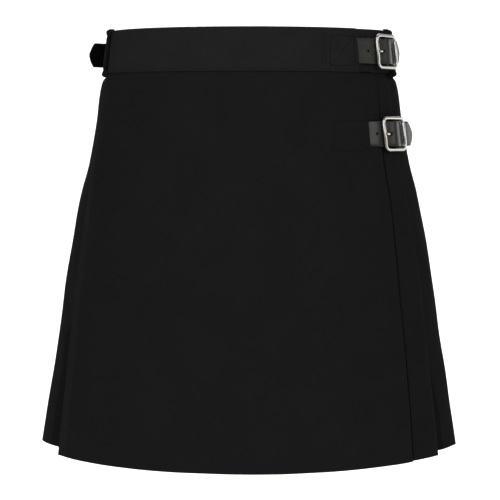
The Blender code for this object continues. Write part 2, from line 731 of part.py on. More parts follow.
def make_chape(fitting, place):
    """Leather chape folded round the centre bar, its two leaves lying on the garment."""
    radius = CENTRE_BAR + CLEAR + CHAPE_THICK / 2
    seat = CHAPE_SEAT + CHAPE_THICK / 2
    tail = surface_height(fitting, place, CHAPE_TAIL) + seat
    near = min(surface_height(fitting, place, CHAPE_NEAR) + seat + CHAPE_LOFT, -CENTRE_SINK - radius)
    gap = CHAPE_THICK + CLEAR
    line = [Vector((CHAPE_TAIL, tail)), Vector((CHAPE_NEAR, near))]
    for turn in range(270, 69, -40):
        angle = math.radians(turn)
        line.append(Vector((radius * math.cos(angle), -CENTRE_SINK + radius * math.sin(angle))))
    line += [Vector((CHAPE_NEAR, near + gap + LAYER_GAP)), Vector((CHAPE_TAIL, tail + gap))]
    right, left = offset_line(line, CHAPE_THICK / 2), offset_line(line, -CHAPE_THICK / 2)
    rings = []
    for one, other in zip(right, left):
        rings.append([place.point(one.x, CHAPE_HALF, one.y), place.point(one.x, -CHAPE_HALF, one.y),
                      place.point(other.x, -CHAPE_HALF, other.y), place.point(other.x, CHAPE_HALF, other.y)])
    chape = add_object("chape_" + fitting.name, loft(rings), "leather")
    first, last = CHAPE_SLOT_ENDS
    outline = ((first, -CHAPE_SLOT), (last, -CHAPE_SLOT), (last, CHAPE_SLOT), (first, CHAPE_SLOT))
    cut(chape, prism(place, outline, *CHAPE_SLOT_REACH))


def make_slit(apron):
    """Cut the slit in the over apron that the lower strap comes out of."""
    fitting = next(item for item in FITTINGS if item.name == "lower")
    place = Place(fitting)
    size = skirt_size(fitting.height)
    half = STRAP_HALF + SLIT_ROOM
    bm = bmesh.new()
    pairs = []
    for angle in LOWER_SLIT:
        for depth in SLIT_DEPTHS:
            plan = ellipse_point(*size, angle, depth)
            pairs.append([bm.verts.new(place.lifted(plan, place.out, v, 0.0)) for v in (half, -half)])
    (a, b), (c, d), (e, f), (g, h) = pairs
    for face in ((a, b, d, c), (e, f, h, g), (a, b, f, e), (c, d, h, g), (a, c, g, e), (b, d, h, f)):
        bm.faces.new(face)
    cut(apron, bm)


def main():
    """Build the kilt."""
    clear_scene()
    apron = make_cloth()
    make_slit(apron)
    make_bands()
    make_loops()
    for fitting in FITTINGS:
        place = Place(fitting)
        make_strap(fitting, place)
        make_frame(fitting, place)
        make_prong(fitting, place)
        make_chape(fitting, place)


main()
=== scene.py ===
"""A plain black kilt, filled out on a hollow form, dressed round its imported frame.

Metres, +Z up. The front faces -Y and the buckled side is at +X. The origin is the middle of the
waist, at half the height of the waistband. Angles are in degrees round the waist: 0 is the middle
of the front, 90 the +X hip, 180 the middle of the back and 270 (or -90) the -X hip. A depth is a
distance inwards from the outermost surface of the garment at that height.
"""
import json
import logging
import math
from dataclasses import dataclass
from enum import Enum
from functools import partial
from typing import Callable, Mapping, NamedTuple, Sequence

import bmesh
import bpy
import numpy as np
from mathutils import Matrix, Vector

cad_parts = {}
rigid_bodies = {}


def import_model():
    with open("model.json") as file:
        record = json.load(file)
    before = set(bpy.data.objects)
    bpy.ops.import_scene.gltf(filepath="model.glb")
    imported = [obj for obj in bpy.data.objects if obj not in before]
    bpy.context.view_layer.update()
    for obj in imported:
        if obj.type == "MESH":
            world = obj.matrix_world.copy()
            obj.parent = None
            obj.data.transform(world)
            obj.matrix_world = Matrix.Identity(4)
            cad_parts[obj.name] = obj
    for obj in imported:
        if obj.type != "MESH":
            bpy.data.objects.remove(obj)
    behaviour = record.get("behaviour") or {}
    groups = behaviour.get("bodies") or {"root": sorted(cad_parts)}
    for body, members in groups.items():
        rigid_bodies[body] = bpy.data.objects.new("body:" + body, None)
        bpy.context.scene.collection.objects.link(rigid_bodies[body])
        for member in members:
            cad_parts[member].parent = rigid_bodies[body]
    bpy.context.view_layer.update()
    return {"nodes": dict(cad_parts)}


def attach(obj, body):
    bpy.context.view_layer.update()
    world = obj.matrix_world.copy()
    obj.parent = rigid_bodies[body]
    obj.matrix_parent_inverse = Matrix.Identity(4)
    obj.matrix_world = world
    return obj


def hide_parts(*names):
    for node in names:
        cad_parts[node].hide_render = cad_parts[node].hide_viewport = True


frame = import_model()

log = logging.getLogger("kilt")
BODY = "root"
SMOOTH_BELOW = math.radians(48)      # faces that meet at less than this are shaded as one
Pair = tuple[float, float]
Surface = Callable[[float, float], np.ndarray]
Object = bpy.types.Object
Socket = bpy.types.NodeSocket
Tree = bpy.types.NodeTree
Finishes = Sequence["Finish"]


# ------------------------------------------------------------------ helpers for meshes

def unit(vectors: np.ndarray) -> np.ndarray:
    """Vectors scaled to a length of one."""
    return vectors / np.maximum(np.linalg.norm(vectors, axis=-1, keepdims=True), 1e-12)


def smooth_step(low: float, high: float, value: float) -> float:
    """Rise smoothly from 0 at low to 1 at high."""
    share = min(max((value - low) / (high - low), 0.0), 1.0)
    return share * share * (3 - 2 * share)


def monotone(table_x: np.ndarray, table_y: np.ndarray, at: np.ndarray) -> np.ndarray:
    """Read a table along a smooth curve that never overshoots its rows.

    Args:
        table_x: increasing places of the rows.
        table_y: one row of values for each place.
        at: the places to read.

    Returns:
        One row of values for each place in at.
    """
    step = np.diff(table_x)[:, None]
    slope = np.diff(table_y, axis=0) / step
    before, after = slope[:-1], slope[1:]
    wide, narrow = 2 * step[1:] + step[:-1], step[1:] + 2 * step[:-1]
    same = before * after > 0
    mean = (wide + narrow) / (wide / np.where(same, before, 1) + narrow / np.where(same, after, 1))
    tangent = np.vstack([slope[:1], np.where(same, mean, 0.0), slope[-1:]])
    index = np.clip(np.searchsorted(table_x, at, side="right") - 1, 0, len(table_x) - 2)
    size = step[index]
    t = (at[:, None] - table_x[index][:, None]) / size
    value = (2 * t ** 3 - 3 * t ** 2 + 1) * table_y[index]
    value += (t ** 3 - 2 * t ** 2 + t) * size * tangent[index]
    value += (3 * t ** 2 - 2 * t ** 3) * table_y[index + 1]
    return value + (t ** 3 - t ** 2) * size * tangent[index + 1]


def curve_through(points: Sequence[Sequence[float]], steps: int) -> np.ndarray:
    """Points along a Catmull-Rom curve, steps of them between each two given points."""
    given = np.asarray(points, float)
    ends = np.vstack([2 * given[0] - given[1], given, 2 * given[-1] - given[-2]])
    t = (np.arange(steps) / steps)[:, None]
    runs = []
    for index in range(len(given) - 1):
        before, start, end, after = ends[index:index + 4]
        bend, twist = 2 * before - 5 * start + 4 * end - after, 3 * start - before - 3 * end + after
        runs.append(0.5 * (2 * start + (end - before) * t + bend * t ** 2 + twist * t ** 3))
    return np.vstack(runs + [given[-1:]])


def circle(count: int, start: float = 0.0) -> np.ndarray:
    """Turns of evenly spaced places round a circle, the first of them start places on."""
    return 2 * math.pi * (np.arange(count) + start) / count


def run_along(line: np.ndarray) -> np.ndarray:
    """Distance from a line's first point to each of its points."""
    return np.pad(np.cumsum(np.linalg.norm(np.diff(line, axis=0), axis=1)), (1, 0))


def resample(line: np.ndarray, spacing: float) -> np.ndarray:
    """Evenly spaced points along a line."""
    along = run_along(line)
    places = np.linspace(0.0, along[-1], max(2, round(along[-1] / spacing) + 1))
    return np.stack([np.interp(places, along, line[:, axis]) for axis in range(line.shape[1])], axis=1)


def lay_flat(grid: np.ndarray) -> tuple[np.ndarray, np.ndarray, float]:
    """Measure a grid of cloth as if it were laid flat.

    Args:
        grid: its points, rows going down and columns going round.

    Returns:
        How far along its row each point is, how far down its column, and the cloth's area.
    """
    across = np.linalg.norm(np.diff(grid, axis=1), axis=2)
    drop = np.linalg.norm(np.diff(grid, axis=0), axis=2)
    area = float((across[:-1] * (drop[:, :-1] + drop[:, 1:]) / 2).sum())
    return (np.pad(np.cumsum(across, axis=1), ((0, 0), (1, 0))),
            np.pad(np.cumsum(drop, axis=0), ((1, 0), (0, 0))), area)


def make_object(name: str, points: np.ndarray, faces: list, finishes: Finishes,
                uv: np.ndarray | None = None) -> Object:
    """Make a smooth-shaded mesh object that rides on the kilt.

    Args:
        name: the piece's name.
        points: its vertices.
        faces: vertex indices of each face.
        finishes: its finishes, the first of which covers all faces.
        uv: place of each vertex on the flat cloth, in metres.

    Returns:
        The new object.
    """
    mesh = bpy.data.meshes.new(name)
    mesh.from_pydata(points.tolist(), [], faces)
    shape = bmesh.new()
    shape.from_mesh(mesh)
    bmesh.ops.recalc_face_normals(shape, faces=shape.faces)
    shape.to_mesh(mesh)
    shape.free()
    if uv is not None:
        layer = mesh.uv_layers.new(name="cloth")
        corners = np.empty(len(mesh.loops), dtype=np.int32)
        mesh.loops.foreach_get("vertex_index", corners)
        layer.data.foreach_set("uv", uv[corners].ravel())
    mesh.shade_smooth()
    mesh.set_sharp_from_angle(angle=SMOOTH_BELOW)
    for finish in finishes:
        mesh.materials.append(finish.material())
    item = bpy.data.objects.new(name, mesh)
    bpy.context.scene.collection.objects.link(item)
    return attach(item, BODY)


def shell_faces(rows: int, columns: int) -> list:
    """Faces of a closed wall whose outer and inner sheets are grids of the same size."""
    inner = rows * columns
    faces, rim = [], []
    for a in (row * columns + column for row in range(rows - 1) for column in range(columns - 1)):
        b, c, d = a + columns, a + columns + 1, a + 1
        faces += [(a, b, c, d), (inner + a, inner + d, inner + c, inner + b)]
    for top in range(columns - 1):
        bottom = inner - columns + top
        rim += [(top, top + 1), (bottom + 1, bottom)]
    for left in range(0, inner - columns, columns):
        right = left + columns - 1
        rim += [(left + columns, left), (right, right + columns)]
    return faces + [(a, b, inner + b, inner + a) for a, b in rim]


def shell(name: str, middle: np.ndarray, thickness: float, finishes: Finishes, uv: np.ndarray) -> Object:
    """Make a closed wall of cloth from its middle surface.

    Args:
        name: the piece's name.
        middle: grid of points, rows going down and columns going round.
        thickness: of the cloth.
        finishes: of the piece.
        uv: place of each grid point on the flat cloth.

    Returns:
        The new object.
    """
    down, across = np.gradient(middle, axis=0), np.gradient(middle, axis=1)
    out = unit(np.cross(down, across)) * (thickness / 2)
    points = np.concatenate([(middle + out).reshape(-1, 3), (middle - out).reshape(-1, 3)])
    flat = uv.reshape(-1, 2)
    faces = shell_faces(*middle.shape[:2])
    return make_object(name, points, faces, finishes, np.concatenate([flat, flat]))


def loft(name: str, rings: Sequence, finishes: Finishes, closed: bool = False) -> Object:
    """Make a closed body through equal rings of points.

    Args:
        name: the piece's name.
        rings: points, one row for each ring.
        finishes: of the piece.
        closed: whether the last ring joins the first, instead of both being capped.

    Returns:
        The new object.
    """
    rings = np.array(rings)
    count, size = rings.shape[:2]
    points = rings.reshape(-1, 3)
    sides = [(side, (side + 1) % size) for side in range(size)]
    faces = []
    for ring in range(count if closed else count - 1):
        here, there = ring * size, (ring + 1) % count * size
        faces += [(here + a, there + a, there + b, here + b) for a, b in sides]
    if not closed:
        first, last = len(points), (count - 1) * size
        points = np.vstack([points, rings[0].mean(axis=0), rings[-1].mean(axis=0)])
        for a, b in sides:
            faces += [(first, a, b), (first + 1, last + b, last + a)]
    return make_object(name, points, faces, finishes)


def combine(item: Object, other: Object, operation: str) -> None:
    """Apply a Boolean with another object, which is then removed."""
    modifier = item.modifiers.new("combine", "BOOLEAN")
    modifier.operation = operation
    modifier.solver = "EXACT"
    modifier.object = other
    bpy.context.view_layer.update()
    evaluated = item.evaluated_get(bpy.context.evaluated_depsgraph_get())
    result = bpy.data.meshes.new_from_object(evaluated)
    item.modifiers.clear()
    item.data = result
    bpy.data.objects.remove(other, do_unlink=True)


# ------------------------------------------------------------------ finishes

def linear(code: str) -> tuple[float, float, float, float]:
    """Linear colour of an sRGB hex code."""
    parts = [int(code[start:start + 2], 16) / 255 for start in (1, 3, 5)]
    red, green, blue = (p / 12.92 if p <= 0.04045 else ((p + 0.055) / 1.055) ** 2.4 for p in parts)
    return red, green, blue, 1.0


def fill(tree: Tree, node: bpy.types.Node, inputs: Mapping) -> None:
    """Give a node's named or numbered inputs their value, or a link from a socket."""
    for name, value in inputs.items():
        if isinstance(value, Socket):
            tree.links.new(value, node.inputs[name])
        else:
            node.inputs[name].default_value = value


def add_node(tree: Tree, kind: str, inputs: Mapping = {}, **settings: object) -> bpy.types.NodeOutputs:
    """Add a node to a material.

    Args:
        tree: the material's nodes.
        kind: the node's type, after the part that all shader nodes share.
        inputs: a value, or a socket to link from, for each named or numbered input.
        settings: the node's own options.

    Returns:
        The new node's outputs.
    """
    node = tree.nodes.new("ShaderNode" + kind)
    for name, value in settings.items():
        setattr(node, name, value)
    fill(tree, node, inputs)
    return node.outputs


def noise(tree: Tree, place: Socket, size: float, detail: float, roughness: float = 0.5) -> Socket:
    """Cloudy noise with patches of a real size."""
    inputs = {"Vector": place, "Scale": 1 / size, "Detail": detail, "Roughness": roughness}
    return add_node(tree, "TexNoise", inputs)["Fac"]


def ribs(tree: Tree, place: Socket, spacing: float, inputs: Mapping) -> Socket:
    """Ribs across the diagonal; the texture has ten radians to the unit before its scale."""
    scale = 2 * math.pi / (10 * spacing)
    inputs = {"Vector": place, "Scale": scale, **inputs}
    return add_node(tree, "TexWave", inputs, bands_direction="DIAGONAL")["Fac"]


def spread(tree: Tree, value: Socket, start: Pair, end: Pair) -> Socket:
    """A value that runs over one range, spread over another."""
    return add_node(tree, "MapRange", {"Value": value, "From Min": start[0], "From Max": start[1],
                                       "To Min": end[0], "To Max": end[1]})[0]


def blend(tree: Tree, share: Socket, dark: str, light: str) -> Socket:
    """A colour between a dark one and a light one."""
    return add_node(tree, "Mix", {0: share, 6: linear(dark), 7: linear(light)}, data_type="RGBA")[2]


def math_node(tree: Tree, operation: str, *values: Socket | float) -> Socket:
    """A sum or a product of sockets and numbers."""
    return add_node(tree, "Math", dict(enumerate(values)), operation=operation)[0]


def bump(tree: Tree, height: Socket, strength: float, distance: float) -> Socket:
    """Fine relief from a height."""
    return add_node(tree, "Bump", {"Strength": strength, "Distance": distance, "Height": height})[0]


@dataclass(frozen=True)
class Recipe:
    """What the recipe of every finish shares."""

    name: str

    def inputs(self, tree: Tree) -> dict[str, object]:
        """The value or the socket for each of the shader's inputs."""
        raise NotImplementedError

    def build(self) -> bpy.types.Material:
        """Make the material, whose shader gets those inputs."""
        material = bpy.data.materials.new(self.name)
        material.use_nodes = True
        tree = material.node_tree
        fill(tree, tree.nodes["Principled BSDF"], self.inputs(tree))
        return material


@dataclass(frozen=True)
class WorstedTwill(Recipe):
    """Wool kilting woven in a two and two twill: matt, with a fine diagonal rib and a little fuzz."""

    dark: str
    light: str
    roughness: float = 0.86
    rib: float = 0.0017       # real ribs are 0.8 mm apart, too fine to show, so they are drawn coarser
    yarn: float = 0.0026      # length of the thick places in the yarn
    stretch: float = 0.28     # their scale along the warp, below 1 so that they are longer than wide
    cloud: float = 0.055      # size of the soft lighter and darker patches
    weave: float = 0.55       # how much of the colour the weave sets, beside those patches
    relief: float = 0.00022

    def inputs(self, tree: Tree) -> dict[str, object]:
        """A weave of ribs and slubs, over clouds of wear."""
        flat = add_node(tree, "UVMap", uv_map="cloth")[0]
        rib = ribs(tree, flat, self.rib * math.sqrt(2),
                   {"Distortion": 1.4, "Detail": 1.0, "Detail Scale": 1.6})
        warp = add_node(tree, "Mapping", {"Vector": flat, "Scale": (1.0, self.stretch, 1.0)})[0]
        slub = noise(tree, warp, self.yarn, 3.0)
        worn = spread(tree, noise(tree, flat, self.cloud, 4.0, 0.6), (0.3, 0.7), (0.2, 0.42))
        fine = math_node(tree, "MULTIPLY", rib, slub)
        shade = math_node(tree, "MULTIPLY_ADD", fine, self.weave, worn)
        height = math_node(tree, "ADD", rib, slub)
        return {"Base Color": blend(tree, shade, self.dark, self.light), "Roughness": self.roughness,
                "Specular IOR Level": 0.01, "Normal": bump(tree, height, 0.55, self.relief)}


@dataclass(frozen=True)
class BridleLeather(Recipe):
    """Waxed strap leather: a tight pebbled grain with a soft shine, rough and dull on its flesh side."""

    dark: str
    light: str
    roughness: float
    grain: float = 0.0011     # a real grain cell is about 0.6 mm, drawn coarser so that it shows
    relief: float = 0.00010
    shine: float = 0.5
    patch: float = 0.012      # size of the patches where the wax has rubbed in

    def inputs(self, tree: Tree) -> dict[str, object]:
        """A pebbled grain under uneven wax."""
        place = add_node(tree, "TexCoord")["Object"]
        cells = add_node(tree, "TexVoronoi", {"Vector": place, "Scale": 1 / self.grain},
                         feature="DISTANCE_TO_EDGE")["Distance"]
        patch = noise(tree, place, self.patch, 5.0, 0.6)
        rough = spread(tree, patch, (0.0, 1.0), (self.roughness - 0.07, self.roughness + 0.08))
        height = math_node(tree, "MULTIPLY_ADD", patch, 0.6, cells)
        return {"Base Color": blend(tree, patch, self.dark, self.light), "Roughness": rough,
                "Specular IOR Level": self.shine, "Normal": bump(tree, height, 0.45, self.relief)}


@dataclass(frozen=True)
class NickelPlate(Recipe):
    """Polished nickel on a die-cast buckle: warm, mirror-like, with faint rubbed places."""

    colour: str
    roughness: float = 0.11
    rub: float = 0.004        # size of the rubbed places

    def inputs(self, tree: Tree) -> dict[str, object]:
        """A mirror that is a little rougher and a little uneven where it is rubbed."""
        rub = noise(tree, add_node(tree, "TexCoord")["Object"], self.rub, 6.0, 0.65)
        return {"Base Color": linear(self.colour), "Metallic": 1.0, "Normal": bump(tree, rub, 0.10, 0.00008),
                "Roughness": spread(tree, rub, (0.3, 0.75), (self.roughness, self.roughness + 0.14))}


@dataclass(frozen=True)
class SewingThread(Recipe):
    """Spun black polyester thread with two plies that twist, coloured darker than the wool under it as
    painted shade of the puckers that it pulls.
    """

    colour: str
    ply: float = 0.0009       # a real twist is 0.5 mm long, drawn coarser so that it shows

    def inputs(self, tree: Tree) -> dict[str, object]:
        """Plain colour with the twist in relief."""
        twist = ribs(tree, add_node(tree, "TexCoord")["Object"], self.ply, {"Distortion": 1.0})
        return {"Base Color": linear(self.colour), "Roughness": 0.62, "Specular IOR Level": 0.12,
                "Normal": bump(tree, twist, 0.4, 0.00010)}


@dataclass(frozen=True)
class MattPaint(Recipe):
    """Plain matt paint on the studio floor: even, with next to no shine."""

    colour: str

    def inputs(self, tree: Tree) -> dict[str, object]:
        """One colour."""
        return {"Base Color": linear(self.colour), "Roughness": 0.95, "Specular IOR Level": 0.1}


class Finish(Enum):
    """The finishes of the kilt and the studio."""

    CLOTH = WorstedTwill("black_worsted_twill", "#121212", "#1b1b1b")
    BAND = WorstedTwill("black_worsted_twill_band", "#161616", "#222222", cloud=0.035)
    PRESSED = WorstedTwill("black_worsted_twill_painted_gutter_shade", "#080808", "#0c0c0c")    # painted shade in the gutter beside the over apron
    CREASED = WorstedTwill("black_worsted_twill_painted_crease_shade", "#0e0e0e", "#151515")    # painted shade beside the pleats' edges and in the reverse pleat
    RAISED = WorstedTwill("black_worsted_twill_painted_edge_highlight", "#141414", "#1f1f1f")      # painted highlight on the folds' edges
    STRAP = BridleLeather("black_bridle_leather_grain", "#141511", "#1f201b", 0.26, shine=0.20)
    FLESH = BridleLeather("black_bridle_leather_flesh", "#0a0a07", "#11100c", 0.9, 0.0016, 0.00016, 0.03)
    NICKEL = NickelPlate("polished_nickel_plate", "#9a9691")
    # black thread, drawn darker than the wool as painted shade of the puckers it pulls
    THREAD = SewingThread("black_polyester_thread_and_painted_shade", "#070706")
    FLOOR = MattPaint("pale_matt_paint", "#f4f4f4")

    def material(self) -> bpy.types.Material:
        """The finish's material, made the first time that it is asked for."""
        return bpy.data.materials.get(self.value.name) or self.value.build()


# ------------------------------------------------------------------ the worn form

def ellipse_plan(half_width: float, half_depth: float, angles: np.ndarray | float,
                 depths: np.ndarray | float) -> np.ndarray:
    """Plan points at angles round an ellipse, moved inwards by depths."""
    sine, cosine = np.sin(np.radians(angles)), np.cos(np.radians(angles))
    out = unit(np.stack([sine / half_width, -cosine / half_depth], axis=-1))
    plan = np.stack([half_width * sine, -half_depth * cosine], axis=-1)
    return plan - out * np.asarray(depths)[..., None]


class Section(NamedTuple):
    """The skirt at one height. A lift is how far an edge stands out from what is under it."""

    height: float
    half_width: float
    half_depth: float
    left_fold: float
    right_edge: float
    first_pleat: float
    pleat_lift: float
    apron_lift: float
    left_lift: float
    under_depth: float
    under_edge: float
    tuck: float

    def plan(self, angles: np.ndarray | float, depths: np.ndarray | float) -> np.ndarray:
        """Plan points at angles on the skirt, moved inwards by depths."""
        return ellipse_plan(self.half_width, self.half_depth, angles, depths)


SECTIONS = tuple(Section(*row) for row in (
    (-0.0190, 0.1830, 0.1268, -78.0, 57.2, 67.8, 0.0030, 0.0016, 0.0032, 0.0062, -50.0, 1.0),
    (-0.0275, 0.1839, 0.1284, -78.0, 57.0, 67.6, 0.0030, 0.0016, 0.0032, 0.0062, -50.0, 1.0),
    (-0.0380, 0.1905, 0.1330, -77.6, 56.6, 67.3, 0.0030, 0.0017, 0.0032, 0.0062, -49.6, 0.5),
    (-0.0900, 0.1988, 0.1402, -76.0, 55.3, 66.4, 0.0030, 0.0018, 0.0032, 0.0052, -48.0, 0.0),
    (-0.1430, 0.2083, 0.1463, -73.5, 53.7, 65.2, 0.0031, 0.0018, 0.0034, 0.0050, -46.6, 0.0),
    (-0.1800, 0.2184, 0.1522, -69.4, 52.9, 64.8, 0.0050, 0.0024, 0.0070, 0.0056, -45.4, 0.0),
    (-0.2400, 0.2307, 0.1595, -67.2, 51.8, 65.2, 0.0086, 0.0036, 0.0150, 0.0070, -44.0, 0.0),
    (-0.3600, 0.2498, 0.1690, -64.9, 50.5, 63.7, 0.0150, 0.0054, 0.0250, 0.0098, -42.4, 0.0),
    (-0.5130, 0.2735, 0.1800, -62.3, 48.4, 61.3, 0.0210, 0.0073, 0.0330, 0.0125, -40.5, 0.0),
))
HEM_RISE = 0.0040
BAND_TOP, BAND_BOTTOM = 0.027, -0.027
BAND_SIZES = (0.1790, 0.1270, 0.1860, 0.1305)    # half width and half depth at its top and its bottom
BAND_END = 47.8


class Ripple(NamedTuple):
    """One soft trough in the cloth, or a ridge where its depth is below zero."""

    top_angle: float
    bottom_angle: float
    top: float
    bottom: float
    width: float
    depth: float


RIPPLES = tuple(Ripple(*row) for row in (
    # Below the lower strap, where it pulls the apron.
    (46.8, 45.0, -0.122, -0.150, 1.1, 0.0012),
    (52.6, 49.8, -0.121, -0.175, 1.2, 0.0013),
    (49.6, 47.8, -0.121, -0.215, 1.9, -0.0009),
    (42.6, 41.0, -0.122, -0.142, 1.3, 0.0006),
    # Long soft folds of the apron, uneven in place and length.
    (-58.0, -50.5, -0.240, -0.540, 4.2, -0.00072),
    (-49.0, -40.5, -0.300, -0.560, 4.6, 0.00059),
    (-33.0, -26.0, -0.330, -0.560, 5.4, -0.00059),
    (-19.5, -13.0, -0.280, -0.540, 5.0, 0.00045),
    (-4.0, 3.0, -0.360, -0.560, 5.8, -0.00054),
    (12.0, 15.5, -0.310, -0.560, 4.8, 0.00049),
    (27.5, 26.0, -0.260, -0.540, 5.2, -0.00059),
    (38.5, 36.5, -0.330, -0.560, 3.9, 0.00063),
    (45.0, 43.5, -0.200, -0.560, 2.3, -0.00045),
    # Slack that lies aslant below the band and over the hips.
    (-60.0, -34.0, -0.052, -0.150, 4.0, -0.00032),
    (-48.0, -20.0, -0.110, -0.230, 4.6, 0.00032),
    (-8.0, 18.0, -0.230, -0.070, 5.0, -0.00032),
    (10.0, 34.0, -0.300, -0.130, 5.4, 0.00032),
    (-36.0, -14.0, -0.380, -0.220, 5.0, -0.00036),
    # The roll of the over apron's left fold.
    (-74.6, -60.9, -0.110, -0.580, 1.3, -0.0011),
    # The hips and the back.
    (86.0, 80.5, -0.230, -0.560, 3.0, 0.0011),
    (108.0, 104.0, -0.280, -0.560, 3.4, -0.0012),
    (131.0, 128.0, -0.250, -0.540, 3.8, 0.0013),
    (152.0, 150.5, -0.330, -0.560, 3.2, -0.0011),
    (171.0, 173.0, -0.270, -0.560, 4.0, 0.0012),
    (194.0, 197.0, -0.310, -0.550, 3.5, -0.0013),
    (216.0, 219.0, -0.240, -0.560, 3.8, 0.0011),
    (237.0, 240.5, -0.300, -0.560, 3.1, -0.0012),
    (255.0, 257.5, -0.260, -0.560, 2.8, 0.0011),
))


class Sway(NamedTuple):
    """One slow wave over the whole cloth: waves round it, waves to the metre down, phase, height."""

    round: float
    down: float
    phase: float
    height: float


SWAYS = tuple(Sway(*row) for row in (
    (7, 3.1, 0.6, 0.00034), (11, -4.3, 2.1, 0.00030), (16, 5.9, 4.4, 0.00024),
    (23, -7.7, 1.3, 0.00017), (29, 9.3, 5.2, 0.00013), (5, 12.1, 3.3, 0.00016),
))
SWAY_RISE = (-0.030, -0.120)      # heights where the waves start and are full
RIPPLE_FADE = 0.45                # share of a ripple's length over which each end fades


class WornForm:
    """The shape that the kilt is worn on, and the soft unevenness of its cloth."""

    def __init__(self) -> None:
        """Keep the table upside down, because a table is read upwards."""
        self.table = np.array(SECTIONS[::-1], float)

    def sections(self, heights: np.ndarray) -> list[Section]:
        """The skirt at each of several heights."""
        rows = monotone(self.table[:, 0], self.table, heights)
        return [Section(*row) for row in rows]

    def section(self, height: float) -> Section:
        """The skirt at one height."""
        return self.sections(np.array([height]))[0]

    @staticmethod
    def unevenness(angles: np.ndarray, height: float) -> np.ndarray:
        """How far the cloth lies in from its plain form at one height."""
        depth = np.zeros_like(angles)
        for ripple in RIPPLES:
            high, low = max(ripple.top, ripple.bottom), min(ripple.top, ripple.bottom)
            share = (height - ripple.top) / (ripple.bottom - ripple.top)
            centre = ripple.top_angle + (ripple.bottom_angle - ripple.top_angle) * share
            fade = RIPPLE_FADE * (high - low)
            strength = (smooth_step(high, high - fade, height) if height > (high + low) / 2
                        else smooth_step(low, low + fade, height))
            away = (angles - centre + 180) % 360 - 180
            depth += ripple.depth * strength * np.exp(-(away / ripple.width) ** 2)
        loose = smooth_step(*SWAY_RISE, height)
        for sway in SWAYS:
            turn = sway.round * np.radians(angles) + 2 * math.pi * sway.down * height + sway.phase
            depth += loose * sway.height * np.sin(turn)
        return depth

    def skirt_point(self, angle: float, height: float) -> np.ndarray:
        """Point on the outer surface of the skirt, without the steps of its pleats."""
        plan = self.section(height).plan(angle, self.unevenness(np.array([angle]), height)[0])
        return np.append(plan, height)

    def band_point(self, angle: float, height: float, depth: float = 0.0) -> np.ndarray:
        """Point on the waistband, moved inwards by depth."""
        share = (BAND_TOP - height) / (BAND_TOP - BAND_BOTTOM)
        top_width, top_depth, low_width, low_depth = BAND_SIZES
        plan = ellipse_plan(top_width + share * (low_width - top_width),
                            top_depth + share * (low_depth - top_depth), angle, depth)
        return np.append(plan, height)


# ------------------------------------------------------------------ the skirt

class Stretch(Enum):
    """What follows a stop on the cloth's path."""

    SHOWN = 0.0046      # spacing of the stations where the cloth shows
    HIDDEN = 0.0095     # and where it lies under another layer
    GUTTER = 0.0020     # and in the narrow gutter beside the over apron, which carries painted shade
    CREASE = 0.0026     # and on the face just past a pleat's edge, which carries painted shade
    REVERSE = 0.0027    # and in the reverse pleat, up to the over apron's fold, which carries painted shade
    RIDGE = 0.0025      # and on a fold's own edge, which carries a painted highlight
    FOLD = 0.0


SHOWN, HIDDEN, GUTTER, CREASE, REVERSE, RIDGE, FOLD = Stretch


class PaintedTone(NamedTuple):
    """Painted shade or a painted highlight on a stretch: its finish, the heights where it starts and is at
    its full width, and whether it is kept from the stretch's end instead of its start."""

    finish: Finish
    rise: Pair | None = None
    from_end: bool = False


# Darker and lighter copies of the cloth: painted shade in the gutter, past the pleats' edges and in the
# reverse pleat, and a painted highlight on the folds' edges.
PAINTED_TONES = {GUTTER: PaintedTone(Finish.PRESSED), RIDGE: PaintedTone(Finish.RAISED), CREASE: PaintedTone(Finish.CREASED, (-0.36, -0.46)),
        REVERSE: PaintedTone(Finish.CREASED, (-0.27, -0.37), from_end=True)}


class Stop(NamedTuple):
    """A place on the cloth's path, and whether the grain is measured from it."""

    angle: float
    depth: float
    after: Stretch
    grain: bool = False


